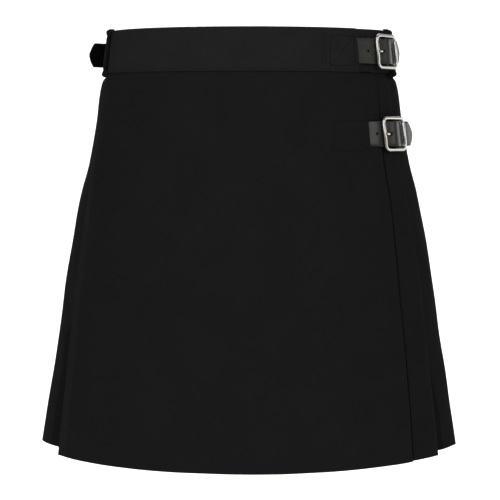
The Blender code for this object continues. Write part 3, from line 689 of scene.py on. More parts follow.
@dataclass
class Skirt:
    """The pleated cloth and the two aprons, each a thin wall folded on itself."""

    form: WornForm
    cloth: float = 0.0010
    layer_gap: float = 0.0004
    layer_loft: float = 0.0012       # how much more the layers part at the hem
    pleats: int = 12
    pleats_per_length: int = 4
    underlap: float = 0.8
    last_edge: float = 266.8
    edge_step: float = 0.25          # degrees between the samples that space the edges
    fine_to: float = -0.0450         # height that the closer rows under the band reach
    fine_rows: int = 10
    plain_rows: int = 106
    length_end: float = 0.5
    reverse_edge: float = -91.0
    reverse_fold: float = 10.0
    apron_fold: float = 14.0
    apron_stations: int = 15
    apron_corner: float = 6.0
    seam_back: float = 8.5
    start_gap: float = 0.0002        # from the last pleat to the over apron's seam, which lies in its shade
    turned_lift: float = 1.1         # lift of the apron's turned cloth, over that of its fold
    variation: float = 0.14          # of the pleats' lifts, as a wave over their numbers
    variation_turn: float = 2.4
    dive_depth: float = 0.0062
    dive_angles: Pair = (49.0, 74.0)
    fold_steps: int = 8
    corner_top: float = -0.0283      # where the over apron starts beyond the end of its band
    corner_step: float = 0.0008      # by how much the rows are brought down below that
    corner_rows: int = 3
    corner_span: float = 1.0         # degrees from the corner to the stops on both sides of it
    apron_shade: float = 0.0016      # room under the over apron's free edge
    gutter: float = 1.2              # degrees of the narrow gutter beside that edge, which carries painted shade
    gutter_rise: float = 0.36        # depth beyond the gutter, as a share of its own
    crease: float = 1.3              # degrees of painted shade beside a pleat's edge
    first_crease: float = 6.2        # and past the corner beside the first one, which stands well out
    ridge: float = 1.0               # and of the painted highlight on that edge
    apron_ridge: float = 4.2         # degrees of painted highlight on the over apron's left fold
    slit_angles: Pair = (48.0, 53.2)
    slit_room: float = 0.0005        # how much longer the slit is than the strap is high, at each end
    slit_reach: Pair = (-0.0040, 0.0045)  # depths between which the slit is cut
    loosening: Pair = (-0.16, -0.513)     # heights where the layers start and end to part
    hem_rising: Pair = (-0.36, -0.513)    # and where the rows start to rise at the hips
    length_share: float = 1.01       # length of the cloth along the flare, over the drop

    def heights(self) -> np.ndarray:
        """Heights of the rows, closer together under the band."""
        top, bottom = SECTIONS[0].height, SECTIONS[-1].height
        fine = np.linspace(top, self.fine_to, self.fine_rows)
        return np.concatenate([fine[:-1], np.linspace(self.fine_to, bottom, self.plain_rows)])

    def step(self, section: Section) -> float:
        """Distance between two layers, which lie more loosely towards the hem."""
        return self.cloth + self.layer_gap + self.layer_loft * smooth_step(*self.loosening, section.height)

    def dive(self, angle: float) -> float:
        """How deep the cloth lies where it goes behind the over apron's band."""
        return self.dive_depth * (1 - smooth_step(*self.dive_angles, angle))

    def edges(self, section: Section) -> np.ndarray:
        """Angles of the pleats' edges, evenly spaced along the cloth after the first."""
        samples = np.arange(section.first_pleat, self.last_edge + self.edge_step, self.edge_step)
        along = run_along(section.plan(samples, np.zeros_like(samples)))
        return np.interp(np.linspace(0.0, along[-1], self.pleats), along, samples)

    def lift(self, section: Section, number: int) -> float:
        """How far one pleat's edge stands out from the next face, a little uneven below the stitching."""
        stitched = SECTIONS[0].pleat_lift
        uneven = 1 + self.variation * math.sin(self.variation_turn * number)
        return stitched + (section.pleat_lift - stitched) * uneven

    def pleated(self, section: Section, which: int) -> list[Stop]:
        """Path of one length of the pleated cloth at one height.

        Args:
            section: the skirt at that height.
            which: the length, counted from the buckled side.

        Returns:
            The stops of its path.
        """
        step = self.step(section)
        edges = self.edges(section)
        previous, valley = section.right_edge, section.apron_lift + self.apron_shade
        path = [Stop(previous - self.seam_back, section.under_depth, HIDDEN), Stop(previous, valley, GUTTER)]
        previous, valley = previous + self.gutter, valley * self.gutter_rise
        path.append(Stop(previous, valley, SHOWN))
        lengths = []
        for number, edge in enumerate(edges):
            following = edges[number + 1] if number + 1 < self.pleats else edge + (edge - previous)
            crease_at = edge - self.underlap * (edge - previous)
            middle = (crease_at + edge) / 2
            rise = valley * (edge - crease_at) / (edge - previous)
            lift = self.lift(section, number)
            crease = max(lift * (1 + (edge - crease_at) / (following - edge)), rise + 2 * step)
            # Past the first corner and past each pleat's edge the cloth carries painted shade.
            path.append(Stop(crease_at, rise, CREASE if number == 1 else SHOWN))
            if number == 1:
                share = 1 - self.first_crease / (edge - crease_at)
                path.append(Stop(crease_at + self.first_crease, rise * share, SHOWN))
            # Just before each edge the cloth carries a painted highlight.
            ridge = rise / 2 * self.ridge / (edge - middle)
            path += [Stop(middle, rise / 2, SHOWN), Stop(edge - self.ridge, ridge, RIDGE),
                     Stop(edge, 0.0, FOLD, True), Stop(edge, step, HIDDEN), Stop(middle, crease / 2, HIDDEN),
                     Stop(crease_at, crease - step, FOLD), Stop(crease_at, crease, HIDDEN),
                     Stop(middle, (crease + lift) / 2, HIDDEN),
                     Stop(edge, lift, SHOWN if number + 1 == self.pleats else CREASE)]
            if 0 < number < self.pleats - 1:
                share = 1 - self.crease / (following - edge)
                path.append(Stop(edge + self.crease, lift * share, SHOWN))
            if (number + 1) % self.pleats_per_length == 0 and number + 1 < self.pleats:
                seam = edge + (following - edge) * (1 - self.underlap) / 2
                depth = lift * (following - seam) / (following - edge)
                path.append(Stop(seam, depth, SHOWN))
                lengths.append(path)
                path = path[-1:]
            previous, valley = edge, lift
        lengths.append(path + [Stop(self.last_edge + self.length_end, valley, SHOWN)])
        return [stop._replace(depth=stop.depth + section.tuck * self.dive(stop.angle))
                if stop.angle >= section.right_edge else stop for stop in lengths[which]]

    def over_apron(self, section: Section) -> list[Stop]:
        """Path of the over apron, from the hidden seam at the left hip to its free right edge."""
        step = self.step(section)
        fold, lift = section.left_fold, section.left_lift
        turned = fold + self.apron_fold
        middle = (fold + turned) / 2
        inner = self.reverse_edge + self.reverse_fold
        face = lift * (inner - self.reverse_edge) / (fold - self.reverse_edge)
        crease = max(lift * self.turned_lift, 2 * step)
        start = self.last_edge + self.length_end - 360.0
        corner = min(BAND_END, section.right_edge - self.apron_corner)
        front = np.linspace(turned, corner - self.corner_span, self.apron_stations + 1)[1:]
        # The reverse pleat carries painted shade towards the fold, and the fold's edge a painted highlight.
        return [Stop(start, section.pleat_lift + self.start_gap, HIDDEN), Stop(inner, face + 2 * step, FOLD),
                Stop(inner, face + step, HIDDEN), Stop(self.reverse_edge, step, FOLD),
                Stop(self.reverse_edge, 0.0, SHOWN, True), Stop(inner, face, REVERSE),
                Stop(fold, lift, HIDDEN), Stop(middle, (lift + crease) / 2, HIDDEN),
                Stop(turned, crease, FOLD), Stop(turned, crease - step, HIDDEN),
                Stop(middle, crease / 2, HIDDEN), Stop(fold, step, FOLD), Stop(fold, 0.0, RIDGE),
                Stop(fold + self.apron_ridge, 0.0, SHOWN), Stop(middle, 0.0, SHOWN),
                Stop(turned, 0.0, SHOWN),
                *(Stop(float(angle), 0.0, SHOWN, index == self.apron_stations // 2)
                  for index, angle in enumerate(front)),
                Stop(corner + self.corner_span, 0.0, SHOWN), Stop(section.right_edge, 0.0, SHOWN)]

    def under_apron(self, section: Section) -> list[Stop]:
        """Path of the hidden inner front, to its seam under the over apron."""
        end = section.right_edge - self.seam_back
        return [Stop(float(angle), section.under_depth, HIDDEN, index == self.apron_stations // 2)
                for index, angle in enumerate(np.linspace(section.under_edge, end, self.apron_stations + 1))]

    def row_height(self, section: Section, angles: np.ndarray, row: int, corner: bool) -> np.ndarray:
        """Heights along a row: the hem rises at the hips, and the over apron's corner starts lower."""
        low = smooth_step(*self.hem_rising, section.height)
        heights = section.height + HEM_RISE * low * np.sin(np.radians(angles)) ** 2
        if corner and section.height > self.corner_top - self.corner_step * self.corner_rows:
            level = self.corner_top - self.corner_step * (row + 1) / self.corner_rows
            heights = np.where(angles > BAND_END, np.minimum(heights, level), heights)
        return heights

    def stations(self, path: list[Stop], section: Section, steps: list[int]) -> tuple[np.ndarray, np.ndarray]:
        """Plan points and angles along a path, with each fold rounded.

        Args:
            path: its stops.
            section: the skirt at that height.
            steps: stations in each stretch.

        Returns:
            The plan points of the cloth's middle, and their angles.
        """
        points, angles = [], []
        for count, start, end in zip(steps + [1], path, path[1:] + path[-1:]):
            t = np.arange(count) / count
            angle = start.angle + (end.angle - start.angle) * t
            depth = start.depth + (end.depth - start.depth) * t
            uneven = self.form.unevenness(angle, section.height)
            plan = section.plan(angle, depth + uneven + self.cloth / 2)
            if start.after is FOLD:
                both = section.plan(np.array([start.angle, end.angle]),
                                    np.array([start.depth, end.depth]) + uneven[0] + self.cloth / 2)
                centre = both.mean(axis=0)
                arm = both[0] - centre
                ahead = np.array([-arm[1], arm[0]])
                if ahead @ (both[0] - points[-1][-1]) < 0:
                    ahead = -ahead
                turn = math.pi * t[:, None]
                plan = centre + arm * np.cos(turn) + ahead * np.sin(turn)
            points.append(plan)
            angles.append(angle)
        return np.concatenate(points), np.concatenate(angles)

    def wall(self, name: str, path_of: Callable[[Section], list[Stop]], corner: bool = False
             ) -> tuple[Object, float, float]:
        """Make one length of cloth.

        Args:
            name: the piece's name.
            path_of: gives its path at a height.
            corner: whether its top edge is lower beyond the end of the over apron's band.

        Returns:
            The piece, the cloth's width along the hem and its flat area.
        """
        sections = self.form.sections(self.heights())
        paths = [path_of(section) for section in sections]
        hem = paths[-1]
        spans = np.diff(sections[-1].plan([stop.angle for stop in hem], [stop.depth for stop in hem]), axis=0)
        steps = [self.fold_steps if stop.after is FOLD else max(1, round(span / stop.after.value))
                 for stop, span in zip(hem, np.linalg.norm(spans, axis=1))]
        rows = []
        for row, (section, path) in enumerate(zip(sections, paths)):
            plan, angles = self.stations(path, section, steps)
            rows.append(np.column_stack([plan, self.row_height(section, angles, row, corner)]))
        grid = np.array(rows)
        along, down, area = lay_flat(grid)
        # Round the cloth, each column is measured along its row from the nearest stop of the grain.
        places = [int(place) for place in np.concatenate([[0], np.cumsum(steps)])]
        anchors = np.array([place for place, stop in zip(places, hem) if stop.grain])
        start = anchors[np.abs(np.arange(grid.shape[1])[:, None] - anchors[None, :]).argmin(axis=1)]
        flat = along[-1, start][None, :] + along - along[:, start]
        item = shell(name, grid, self.cloth, [Finish.CLOTH], np.stack([flat, -down], axis=-1))
        # Colour the gutter, the creases and the fold edges with painted shade and painted highlights.
        for first, last, stop in zip(places, places[1:], hem):
            if stop.after in PAINTED_TONES:
                self.paint_tone(item, grid.shape[1] - 1, range(first, last), PAINTED_TONES[stop.after])
        width = float(along[-1, -1])
        log.info("%s: %.0f mm of cloth along the hem, %.3f square metres", name, width * 1000, area)
        return item, width, area

    def paint_tone(self, item: Object, wide: int, columns: range, painted_tone: PaintedTone) -> None:
        """Colour both faces of some columns of a wall with painted shade or a painted highlight.

        Args:
            item: the wall.
            wide: its faces in a row.
            columns: the faces in a row that the nap may cover.
            painted_tone: the painted shade or highlight that they get.
        """
        material = painted_tone.finish.material()
        if material.name not in item.data.materials:
            item.data.materials.append(material)
        slot = item.data.materials.find(material.name)
        for row, height in enumerate(self.heights()[:-1]):
            kept = round(len(columns) * (smooth_step(*painted_tone.rise, float(height)) if painted_tone.rise else 1))
            for column in columns[len(columns) - kept:] if painted_tone.from_end else columns[:kept]:
                outer = (row * wide + column) * 2
                for face in (outer, outer + 1):
                    item.data.polygons[face].material_index = slot

    def build(self) -> None:
        """Make the five lengths of cloth."""
        plans = [("over_apron", self.over_apron, "waistband_front"),
                 ("under_apron", self.under_apron, "waistband_under")]
        plans += [(name, partial(self.pleated, which=index), "waistband_back")
                  for index, name in enumerate(("pleats_right", "pleats_back", "pleats_left"))]
        for name, path_of, band in plans:
            item, width, area = self.wall(name + "_cloth", path_of, corner=name == "over_apron")
            if name == "over_apron":
                self.cut_slit(item)
            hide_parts(name)

    def cut_slit(self, item: Object) -> None:
        """Cut the slit in the over apron that the lower strap comes out of."""
        place = Place(LOWER)
        section = self.form.section(LOWER.height)
        half, (outer, inner) = STRAP_HALF + self.slit_room, self.slit_reach
        rings = []
        for plan in section.plan(np.array(self.slit_angles), np.zeros(2)):
            out = unit(plan / np.array([section.half_width, section.half_depth]) ** 2)
            rings.append([place.lifted(plan - out * depth, place.out, v, 0.0) for depth, v in (
                (outer, half), (outer, -half), (inner, -half), (inner, half))])
        cutter = loft("slit_cutter", rings, [Finish.CLOTH])
        combine(item, cutter, "DIFFERENCE")


# ------------------------------------------------------------------ the waistband

@dataclass
class Waistband:
    """Band cloth folded over at the top, in three lengths, with two rows of topstitching."""

    form: WornForm
    skirt: Skirt
    cloth: float = 0.0012
    seam: float = -80.0
    under_seam: float = 56.0
    seam_gap: float = 0.2
    front_thick: float = 0.0058
    pleat_thick: float = 0.0110
    under_thick: float = 0.0062
    front_swell: Pair = (-62.0, -54.0)
    back_swell: Pair = (54.0, 59.0)
    shoulder: float = -0.0090
    top_round: float = 0.0016
    bottom_round: float = 0.0012
    stitch_in: float = 0.0034        # how far the topstitching lies from each edge
    puff: float = 0.00045            # how far the rows of topstitching draw the cloth in
    drawn: float = 0.0016            # half width of the dent beside a row
    wave: float = 0.00016            # height of the band's slow waves
    # Radians of those waves: to the radian round, to the metre up in step with that, and on their own.
    wave_turns: tuple[float, float, float] = (21, 90, 55)
    pucker: float = 0.00010          # height of the small waves along the bottom edge
    pucker_turns: float = 96
    fold_zone: float = 0.0016        # height over which the bottom edge rounds in
    pucker_zone: float = 0.006
    flat: float = 0.4                # how far the cloth between the rows stands out, over the dents' depth
    column_step: float = 0.9         # degrees between the columns of the band
    end_margin: float = 0.6          # degrees from the end of a band to its topstitching
    seam_margin: float = 0.8
    under_margin: float = 3.0

    def face(self, angle: float, height: float) -> float:
        """How far the band's face lies in from its plain form, drawn in along its stitching."""
        pulled = sum(math.exp(-((height - row) / self.drawn) ** 2) for row in self.rows())
        turn = math.radians(angle)
        round_turns, slant_turns, up_turns = self.wave_turns
        wave = self.wave * math.sin(turn * round_turns + height * slant_turns) * math.cos(height * up_turns)
        near_edge = math.exp(-((height - BAND_BOTTOM) / self.pucker_zone) ** 2)
        pucker = self.pucker * math.sin(turn * self.pucker_turns) * near_edge
        folded = self.bottom_round * smooth_step(BAND_BOTTOM + self.fold_zone, BAND_BOTTOM, height)
        return self.puff * pulled - self.puff * self.flat + wave + pucker + folded

    def front_point(self, angle: float, height: float) -> np.ndarray:
        """Point on the front band's face."""
        return self.form.band_point(angle, height, self.face(angle, height))

    def rows(self) -> Pair:
        """Heights of the two rows of topstitching."""
        return BAND_TOP - self.stitch_in, BAND_BOTTOM + self.stitch_in

    def front_thickness(self, angle: float) -> float:
        """Thickness of the front band, more where the reverse pleat goes up into it."""
        share = 1 - smooth_step(*self.front_swell, angle)
        return self.front_thick + (self.pleat_thick - self.front_thick) * share

    def back_thickness(self, angle: float) -> float:
        """Thickness of the back band, less towards its seam with the under band."""
        thin = self.under_thick + self.skirt.cloth + self.skirt.layer_gap
        return thin + (self.pleat_thick - thin) * smooth_step(*self.back_swell, angle)

    def profile(self, start: float, thick: float, angle: float) -> list[Pair]:
        """Middle line of the folded band at one angle.

        Args:
            start: depth of its outer face.
            thick: its thickness at the skirt's top edge.
            angle: where it is.

        Returns:
            Depths and heights, from the outer bottom edge over the top to the inner one.
        """
        half = self.cloth / 2
        top = start + min(thick, self.front_thick)
        radius = min(self.top_round, (top - start) / 2 - half)
        crown = BAND_TOP - half - radius
        points = [(start + half + self.face(angle, height), float(height))
                  for height in np.linspace(BAND_BOTTOM, crown, 22)]
        first = points[-1][0]
        quarter = [(radius * (1 - math.cos(turn)), BAND_TOP - half - radius * (1 - math.sin(turn)))
                   for turn in np.radians(np.linspace(0, 90, 5))]
        points += [(first + reach, height) for reach, height in quarter[1:]]
        points += [(top - half - reach, height) for reach, height in quarter[::-1]]
        for height in np.linspace(crown, self.shoulder, 7)[1:]:
            share = smooth_step(crown, self.shoulder, float(height))
            points.append((top - half + (start + thick - top) * share, float(height)))
        return points + [(start + thick - half, float(height))
                         for height in np.linspace(self.shoulder, BAND_BOTTOM, 6)[1:]]

    def length(self, name: str, first: float, last: float, start_of: Callable[[float], float],
               thick_of: Callable[[float], float], cloths: tuple[str, ...]) -> None:
        """Make one length of the band.

        Args:
            name: the node that it stands for.
            first: the angle where it starts.
            last: the angle where it ends.
            start_of: depth of its outer face at an angle.
            thick_of: its thickness at an angle.
            cloths: the lengths of skirt cloth that it is folded over; not used.
        """
        columns = []
        for angle in np.linspace(first, last, round((last - first) / self.column_step) + 1):
            profile = self.profile(start_of(angle), thick_of(angle), float(angle))
            columns.append([self.form.band_point(float(angle), height, depth) for depth, height in profile])
        grid = np.array(columns).transpose(1, 0, 2)[::-1]
        along, down, area = lay_flat(grid)
        item = shell(name + "_cloth", grid, self.cloth, [Finish.BAND],
                     np.stack([along, -down], axis=-1))
        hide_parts(name)

    def build(self) -> None:
        """Make the front, back and under bands and their topstitching."""
        dive = self.skirt.dive
        self.length("waistband_front", self.seam, BAND_END, lambda angle: 0.0, self.front_thickness,
                    ("over_apron",))
        self.length("waistband_back", self.under_seam, 360.0 + self.seam - self.seam_gap, dive,
                    self.back_thickness, ("pleats_right", "pleats_back", "pleats_left"))
        self.length("waistband_under", SECTIONS[0].under_edge, self.under_seam - self.seam_gap, dive,
                    lambda angle: self.under_thick, ("under_apron",))
        front, back = Stitching("topstitch_front"), Stitching("topstitch_back")
        top, bottom = self.rows()
        for height in (top, bottom):
            front.row([(self.seam + self.seam_margin, height), (BAND_END - self.end_margin, height)],
                      self.front_point)
            back.row([(self.under_seam + self.under_margin, height),
                      (360.0 + self.seam - self.end_margin, height)],
                     lambda angle, z: self.form.band_point(angle, z, dive(angle) + self.face(angle, z)))
        corner = BAND_END - 2 * self.end_margin
        front.row([(corner, top), (corner, bottom)], self.front_point)
        front.build()
        back.build()


# ------------------------------------------------------------------ sewing

class Stitching:
    """Rows of single stitches on a surface, made as one piece."""

    SIDES = 6
    # Rings along a stitch: place along it, size and rise, the last two as shares of the thread's radius.
    RINGS = ((-0.50, 0.35, -0.55), (-0.36, 0.90, 0.05), (0.0, 1.0, 0.35), (0.36, 0.90, 0.05),
             (0.50, 0.35, -0.55))

    # Degrees and metres between the points that follow the surface, and those used to feel its slope.
    FOLLOW = (1.5, 0.004)
    FEEL = (0.4, 0.001)

    def __init__(self, name: str, length: float = 0.0026, gap: float = 0.0009,
                 radius: float = 0.00038) -> None:
        """Start a piece with no stitches.

        Args:
            name: the piece's name.
            length: of one stitch.
            gap: between two stitches.
            radius: of the thread.
        """
        self.name, self.length, self.gap, self.radius = name, length, gap, radius
        self.points: list[np.ndarray] = []

    def stitch(self, start: np.ndarray, end: np.ndarray, out: np.ndarray) -> None:
        """Add one stitch that dips into the cloth at both ends."""
        along = end - start
        side = unit(np.cross(along, out))
        turn = circle(self.SIDES)[:, None]
        ring = side * np.cos(turn) + out * np.sin(turn)
        self.points += [(start + end) / 2 + along * place + out * rise * self.radius
                        + ring * self.radius * size for place, size, rise in self.RINGS]

    def row(self, corners: Sequence[Pair], surface: Surface) -> None:
        """Add stitches along straight lines between corners given as angles and heights.

        Args:
            corners: angles and heights on the surface.
            surface: gives the point at an angle and a height.
        """
        for (angle, height), (next_angle, next_height) in zip(corners, corners[1:]):
            wide, tall = next_angle - angle, next_height - height
            count = max(2, round(max(abs(wide) / self.FOLLOW[0], abs(tall) / self.FOLLOW[1])))
            line = [surface(a, h) for a, h in zip(np.linspace(angle, next_angle, count + 1),
                                                  np.linspace(height, next_height, count + 1))]
            places = resample(np.array(line), self.length + self.gap)
            share = self.gap / (self.length + self.gap) / 2
            for index, (start, end) in enumerate(zip(places, places[1:])):
                t = (index + 0.5) / (len(places) - 1)
                a, h = angle + wide * t, height + tall * t
                here = surface(a, h)
                below, beside = surface(a, h - self.FEEL[1]), surface(a + self.FEEL[0], h)
                out = unit(np.cross(below - here, beside - here))
                self.stitch(start + (end - start) * share, end - (end - start) * share, out)

    def build(self) -> None:
        """Make the piece."""
        size = self.SIDES * len(self.RINGS)
        pattern = []
        for a in range(0, size - self.SIDES, self.SIDES):
            b = a + self.SIDES
            for side in range(self.SIDES):
                after = (side + 1) % self.SIDES
                pattern.append((a + side, a + after, b + after, b + side))
        pattern += [tuple(reversed(range(self.SIDES))), tuple(range(size - self.SIDES, size))]
        count = len(self.points) // len(self.RINGS)
        faces = [tuple(corner + size * index for corner in face)
                 for index in range(count) for face in pattern]
        make_object(self.name, np.concatenate(self.points), faces, [Finish.THREAD])
        log.info("%s: %d stitches", self.name, count)


@dataclass
class StrapSewing:
    """Boxed cross and bar tacks that hold a strap's sewn end under the cloth."""

    name: str
    surface: Surface
    box: tuple[float, float, float, float]      # first and last angle, top and bottom height
    slant: float                                # how much less each angle is at the bottom
    tacks: tuple[Pair, ...]                     # first and last angle of each column of tacks
    tack_heights: Pair
    tack_step: float = 0.0028
    tack_rise: float = 0.0007                   # how much lower the second row of a tack ends
    second_box: float = 0.0011                  # how far inside the box its second row runs
    round_per_metre: float = 420.0              # degrees to the metre round the garment

    def corner(self, angle: float, height: float) -> Pair:
        """A corner that leans as the strap does."""
        _, _, top, bottom = self.box
        return angle - self.slant * (top - height) / (top - bottom), height

    def build(self) -> None:
        """Sew the box, its cross and the columns of tacks."""
        left, right, top, bottom = self.box
        sewn = Stitching(self.name)
        for inset in (0.0, self.second_box):
            turn = inset * self.round_per_metre
            a, b = self.corner(left + turn, top - inset), self.corner(right - turn, top - inset)
            c, d = self.corner(right - turn, bottom + inset), self.corner(left + turn, bottom + inset)
            sewn.row([a, b, c, d, a], self.surface)
        sewn.row([a, c], self.surface)
        sewn.row([b, d], self.surface)
        for first, last in self.tacks:
            for height in np.arange(*self.tack_heights, -self.tack_step).tolist():
                for rise in (0.0, self.tack_rise):
                    sewn.row([self.corner(first, height), self.corner(last, height - rise)], self.surface)
        sewn.build()


# ------------------------------------------------------------------ straps and buckles

STRAP_HALF = 0.0158
STRAP_THICK = 0.0024
FRAME_SIZE = 0.0440
FRAME_BAR = 0.0043
FRAME_THICK = 0.0032
BAR_S = (FRAME_SIZE - FRAME_BAR) / 2


class Fitting(NamedTuple):
    """Where a strap and its buckle are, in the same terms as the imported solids."""

    name: str
    bar_x: float
    bar_y: float
    height: float
    turn: float
    tilt: float
    root_depth: float
    first_hole: float
    tail: float


UPPER = Fitting("upper", 0.1612, -0.0680, -0.0006, 51.0, 5.6, 0.0029, -0.0325, 0.0140)
LOWER = Fitting("lower", 0.1693, -0.0855, -0.1037, 47.5, 8.3, 0.0030, -0.0290, 0.0213)
LEFT = Fitting("left", -0.1488, 0.0857, -0.0020, -134.0, 5.8, -0.0021, -0.0300, 0.0490)
# Angles of the sewn part of each strap, and the angles and depths at which the lower one passes its slit.
STRAP_ROOTS = {"upper": (33.5, 38.0, 43.0, BAND_END), "lower": (34.0, 38.0, 42.0, 46.0),
               "left": (221.0, 226.0)}
SLIT_PASS = ((48.0, 0.0029), (52.6, -0.0018))


class Place:
    """Where a buckle lies: s runs along the strap, v up the garment and h outwards."""

    def __init__(self, fitting: Fitting) -> None:
        """Find the buckle's middle and its directions."""
        turn = math.radians(fitting.turn)
        self.lean = math.radians(fitting.tilt)
        self.along = np.array([math.cos(turn), math.sin(turn)])
        self.out = np.array([math.sin(turn), -math.cos(turn)])
        self.centre = np.array([fitting.bar_x, fitting.bar_y]) + self.along * BAR_S
        self.height = fitting.height

    def plan(self, s: float, h: float) -> np.ndarray:
        """Plan point at s along the strap and h outwards."""
        return self.centre + self.along * s + self.out * h

    def lifted(self, plan: np.ndarray, out: np.ndarray, v: float, h: float) -> np.ndarray:
        """Point that lies v up the leaning garment and h outwards from a plan point."""
        flat = plan + out * (h * math.cos(self.lean) - v * math.sin(self.lean))
        return np.array([flat[0], flat[1], self.height + v * math.cos(self.lean) + h * math.sin(self.lean)])

    def point(self, s: float, v: float, h: float) -> np.ndarray:
        """Point in space at s along, v up and h out."""
        return self.lifted(self.plan(s, h), self.out, v, 0.0)


@dataclass
class BuckledStrap:
    """A leather strap with its nickel buckle and prong."""

    form: WornForm
    fitting: Fitting
    under: float = FRAME_THICK / 2 + STRAP_THICK / 2 + 0.0009
    over: float = 0.0037
    tail_bend: float = 0.0022        # how far the free end curls in round the hip
    spacing: float = 0.0011          # between the rings of the strap
    edge: float = 0.0007             # radius of its long edges
    tip_length: float = 0.0080
    tip_bow: float = 0.7             # share of a round bow in the shape of the tip, beside a straight point
    tip_half: float = 0.0030         # half height of the strap's blunt end
    hole: float = 0.0017
    prong_hole: float = -0.0104
    prong_slot: Pair = (0.0016, 0.0022)      # half length beyond its round ends, and their radius
    free_hole: float = 0.0125
    punch_reach: float = 0.012
    corner: float = 0.0062           # radius of the frame's corners, along the middle of its bars
    bar_swell: float = 1.22          # how much thicker the upright bars are
    frame_square: float = 0.8        # below 1, the frame's section is squarer than round
    centre_bar: float = 0.0015
    centre_sink: float = 0.0015
    prong_radius: float = 0.0008
    prong_half: float = 0.0017
    prong_nose: float = 0.0015       # length over which the prong's end is rounded
    prong_blunt: float = 0.0002      # how far that rounding is cut short
    clear: float = 0.0003
    grain_facing: float = 0.25       # a face with the grain points outwards by more than this
    # Middle of the prong beyond its hook: places along the strap and outwards.
    prong_path: tuple[Pair, ...] = (
        (-0.0030, 0.0003), (-0.0056, -0.0010), (-0.0080, -0.0012), (-0.0104, 0.0007), (-0.0124, 0.0022),
        (-0.0146, 0.0029), (-0.0170, 0.0029), (-0.0191, 0.0028))

    def __post_init__(self) -> None:
        """Find where the buckle lies."""
        self.place = Place(self.fitting)

    def line(self) -> np.ndarray:
        """Plan line of the strap, from its sewn end through the buckle to its tip."""
        fitting, place = self.fitting, self.place
        angles = STRAP_ROOTS[fitting.name]
        if fitting is LOWER:
            section = self.form.section(fitting.height)
            stops = [(angle, fitting.root_depth) for angle in angles] + list(SLIT_PASS)
            line = [section.plan(angle, depth) for angle, depth in stops]
        else:
            line = [self.form.band_point(angle, fitting.height, fitting.root_depth)[:2] for angle in angles]
        bar, tail = BAR_S, fitting.tail + self.tail_bend
        line += [place.plan(s, h) for s, h in (
            (-bar, -self.under), (-bar / 2, 0.0), (0.0, self.over), (bar / 2, 0.0), (bar, -self.under))]
        line += [place.plan(bar + tail * share, -self.under - self.tail_bend * share ** 2)
                 for share in (0.5, 1.0)]
        return resample(curve_through(line, 12), self.spacing)

    def half_height(self, to_end: float) -> float:
        """Half height of the strap at a distance from its tip, which is a blunt point with bowed sides."""
        if to_end >= self.tip_length:
            return STRAP_HALF
        radius = (STRAP_HALF ** 2 + self.tip_length ** 2) / (2 * self.tip_length)
        bow = math.sqrt(max(2 * radius * to_end - to_end ** 2, 0.0))
        point = STRAP_HALF * to_end / self.tip_length
        return max(self.tip_bow * bow + (1 - self.tip_bow) * point, self.tip_half)

    def section(self, half: float) -> list[Pair]:
        """Outline across the strap, with rounded edges, as places up and out."""
        edge = min(self.edge, half * 0.3)
        high, wide = half - edge, STRAP_THICK / 2
        outline = []
        for first, side_v, side_h in ((0, 1, 1), (90, -1, 1), (180, -1, -1), (270, 1, -1)):
            outline += [(side_v * high + edge * math.cos(turn),
                         side_h * (wide - edge) + edge * math.sin(turn))
                        for turn in np.radians([first + 6, first + 45, first + 84])]
            if side_v == side_h:
                outline += [(side_v * high * share, side_h * wide)
                            for share in (0.75, 0.5, 0.3, 0.14, -0.14, -0.3, -0.5, -0.75)]
        return outline

    def strap(self) -> None:
        """Make the strap, with its grain side outwards and punched holes."""
        name = "strap_" + self.fitting.name
        line = self.line()
        tip = np.linspace(line[-1], line[-1] - unit(line[-1] - line[-2]) * self.tip_length, 15)[-2::-1]
        line = np.vstack([line[np.linalg.norm(line - line[-1], axis=1) > self.tip_length], tip])
        forward = unit(np.gradient(line, axis=0))
        out = np.stack([forward[:, 1], -forward[:, 0]], axis=1)
        rings = [[self.place.lifted(point, normal, v, h) for v, h in self.section(self.half_height(distance))]
                 for point, normal, distance in zip(line, out, run_along(line[::-1])[::-1])]
        item = loft(name + "_leather", rings, [Finish.STRAP, Finish.FLESH])
        for centre, half_length, radius in ((self.fitting.first_hole, 0.0, self.hole),
                                            (self.prong_hole, *self.prong_slot),
                                            (self.free_hole, 0.0, self.hole)):
            self.punch(item, centre, half_length, radius)
        self.mark_flesh(item, line, out)
        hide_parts(name)

    def punch(self, item: Object, centre: float, half_length: float, radius: float) -> None:
        """Punch a round or slotted hole through the strap."""
        outline = [(centre + math.copysign(half_length, math.cos(turn)) + radius * math.cos(turn),
                    radius * math.sin(turn)) for turn in circle(20, 0.5)]
        rings = [[self.place.point(s, v, h) for s, v in outline]
                 for h in (-self.punch_reach, self.punch_reach)]
        combine(item, loft("punch", rings, [Finish.FLESH]), "DIFFERENCE")

    def mark_flesh(self, item: Object, line: np.ndarray, out: np.ndarray) -> None:
        """Give the strap's inner side and its cut edges the flesh side's finish."""
        for face in item.data.polygons:
            centre = np.array(face.center)
            nearest = int(np.linalg.norm(line - centre[:2], axis=1).argmin())
            outwards = np.dot(np.array(face.normal)[:2], out[nearest])
            face.material_index = 0 if outwards > self.grain_facing else 1

